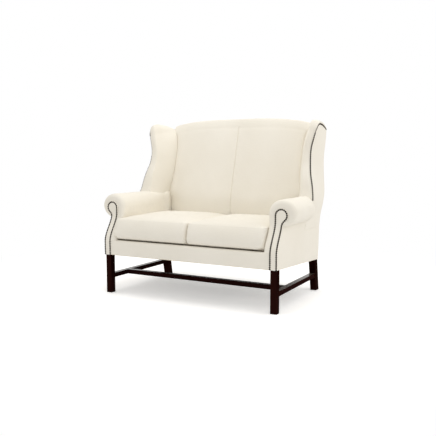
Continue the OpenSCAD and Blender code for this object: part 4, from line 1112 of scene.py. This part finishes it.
def seen_directly(tree, *more):
    """1 for what the camera sees, straight, mirrored or by the kinds given, and else 0."""
    rays = added(tree, "LightPath").outputs
    kinds = ("Camera", "Glossy", *more)
    return folded(tree, "MAXIMUM", *[rays[f"Is {kind} Ray"] for kind in kinds])


def mixed(tree, factor, first, second):
    made = added(tree, "MixShader")
    for source, socket in zip((factor, first, second), made.inputs):
        tree.links.new(source, socket)
    return made.outputs[0]


def floor():
    """A pale floor that runs out into the white of the backdrop away from the object."""
    size = 9.0
    mesh = bpy.data.meshes.new("floor")
    mesh.from_pydata([(-size, -size, 0), (size, -size, 0), (size, size, 0), (-size, size, 0)],
                     [], [(0, 1, 2, 3)])
    obj = placed("floor", mesh)
    mat, tree, bsdf = shader("pale_floor")
    link = tree.links.new
    inputs(bsdf, Base_Color=(0.93, 0.93, 0.935, 1), Roughness=0.9, Specular_IOR_Level=0.1)
    seen = seen_directly(tree)
    glow = added(tree, "Emission", Color=(1.0, 0.985, 0.955, 1))
    link(maths(tree, "MULTIPLY", seen, 0.40), glow.inputs["Strength"])
    both = added(tree, "AddShader")
    link(bsdf.outputs[0], both.inputs[0])
    link(glow.outputs[0], both.inputs[1])
    away = added(tree, "VectorMath")
    away.operation = "LENGTH"
    link(added(tree, "TexCoord").outputs["Object"], away.inputs[0])
    fade = added(tree, "MapRange")
    fade.interpolation_type = "SMOOTHSTEP"
    inputs(fade, From_Min=1.1, From_Max=2.2)
    link(away.outputs["Value"], fade.inputs["Value"])
    plain = added(tree, "Emission", Color=(1, 1, 1, 1))
    blank = mixed(tree, maths(tree, "MULTIPLY", fade.outputs["Result"], seen),
                  both.outputs[0], plain.outputs[0])
    out = next(n for n in tree.nodes if n.type == "OUTPUT_MATERIAL")
    link(blank, out.inputs[0])
    paint(obj, mat)


def daylight():
    """Plain soft light from all round, in front of a white backdrop."""
    world = bpy.data.worlds.new("studio")
    bpy.context.scene.world = world
    world.use_nodes = True
    tree = world.node_tree
    tree.nodes.clear()
    light = added(tree, "Background", Color=(*light_tone, 1),
                   Strength=0.785)
    white = added(tree, "Background", Color=(1, 1, 1, 1), Strength=1.0)
    out = added(tree, "OutputWorld")
    tree.links.new(mixed(tree, seen_directly(tree, "Transmission"), light.outputs[0],
                         white.outputs[0]), out.inputs[0])


def lamp(name, place, aim, size, power):
    data = configured(bpy.data.lights.new(name, "AREA"), shape="SQUARE", size=size,
                      energy=power, color=light_tone)
    turn = (Vector(aim) - Vector(place)).to_track_quat("-Z", "Y").to_euler()
    configured(placed(name, data), location=place, rotation_euler=turn)


def photo_camera():
    """The camera that was fitted to the photo; its focal length is given in photo pixels."""
    sensor, photo_px, focal_px = 36.0, 436.0, 583.73
    data = configured(bpy.data.cameras.new("camera"), sensor_width=sensor,
                      sensor_height=sensor, lens=sensor * focal_px / photo_px)
    bpy.context.scene.camera = configured(
        placed("camera", data), location=(1.7994, -2.9512 - mid_y * MM, 0.8705),
        rotation_euler=(math.pi / 2 - 0.1033, 0.0, 0.4899))
    bpy.context.scene.view_settings.view_transform = "Standard"


for side, name in SIDES:
    arm_cover(side, name)
    arm_facing(side, name)
    arm_nails(side, name)
    outside_arm(side, name)
    outside_wing(side, name)
    wing_pad(side, name)
    wing_nails(side, name)
inside_back()
outside_back()
front_border()
cushion(1, "right", "right_cushion")
cushion(-1, "left", "left_cushion")
seat_deck()
dust_cover()
wood_nodes()
floor()
daylight()
lamp("top_soft", (0.1, -0.25, 3.4), (0.0, 0.0, 0.5), 1.5, 26)
lamp("right_soft", (3.4, 0.7, 2.3), (0.0, 0.0, 0.8), 1.8, 20)
photo_camera()
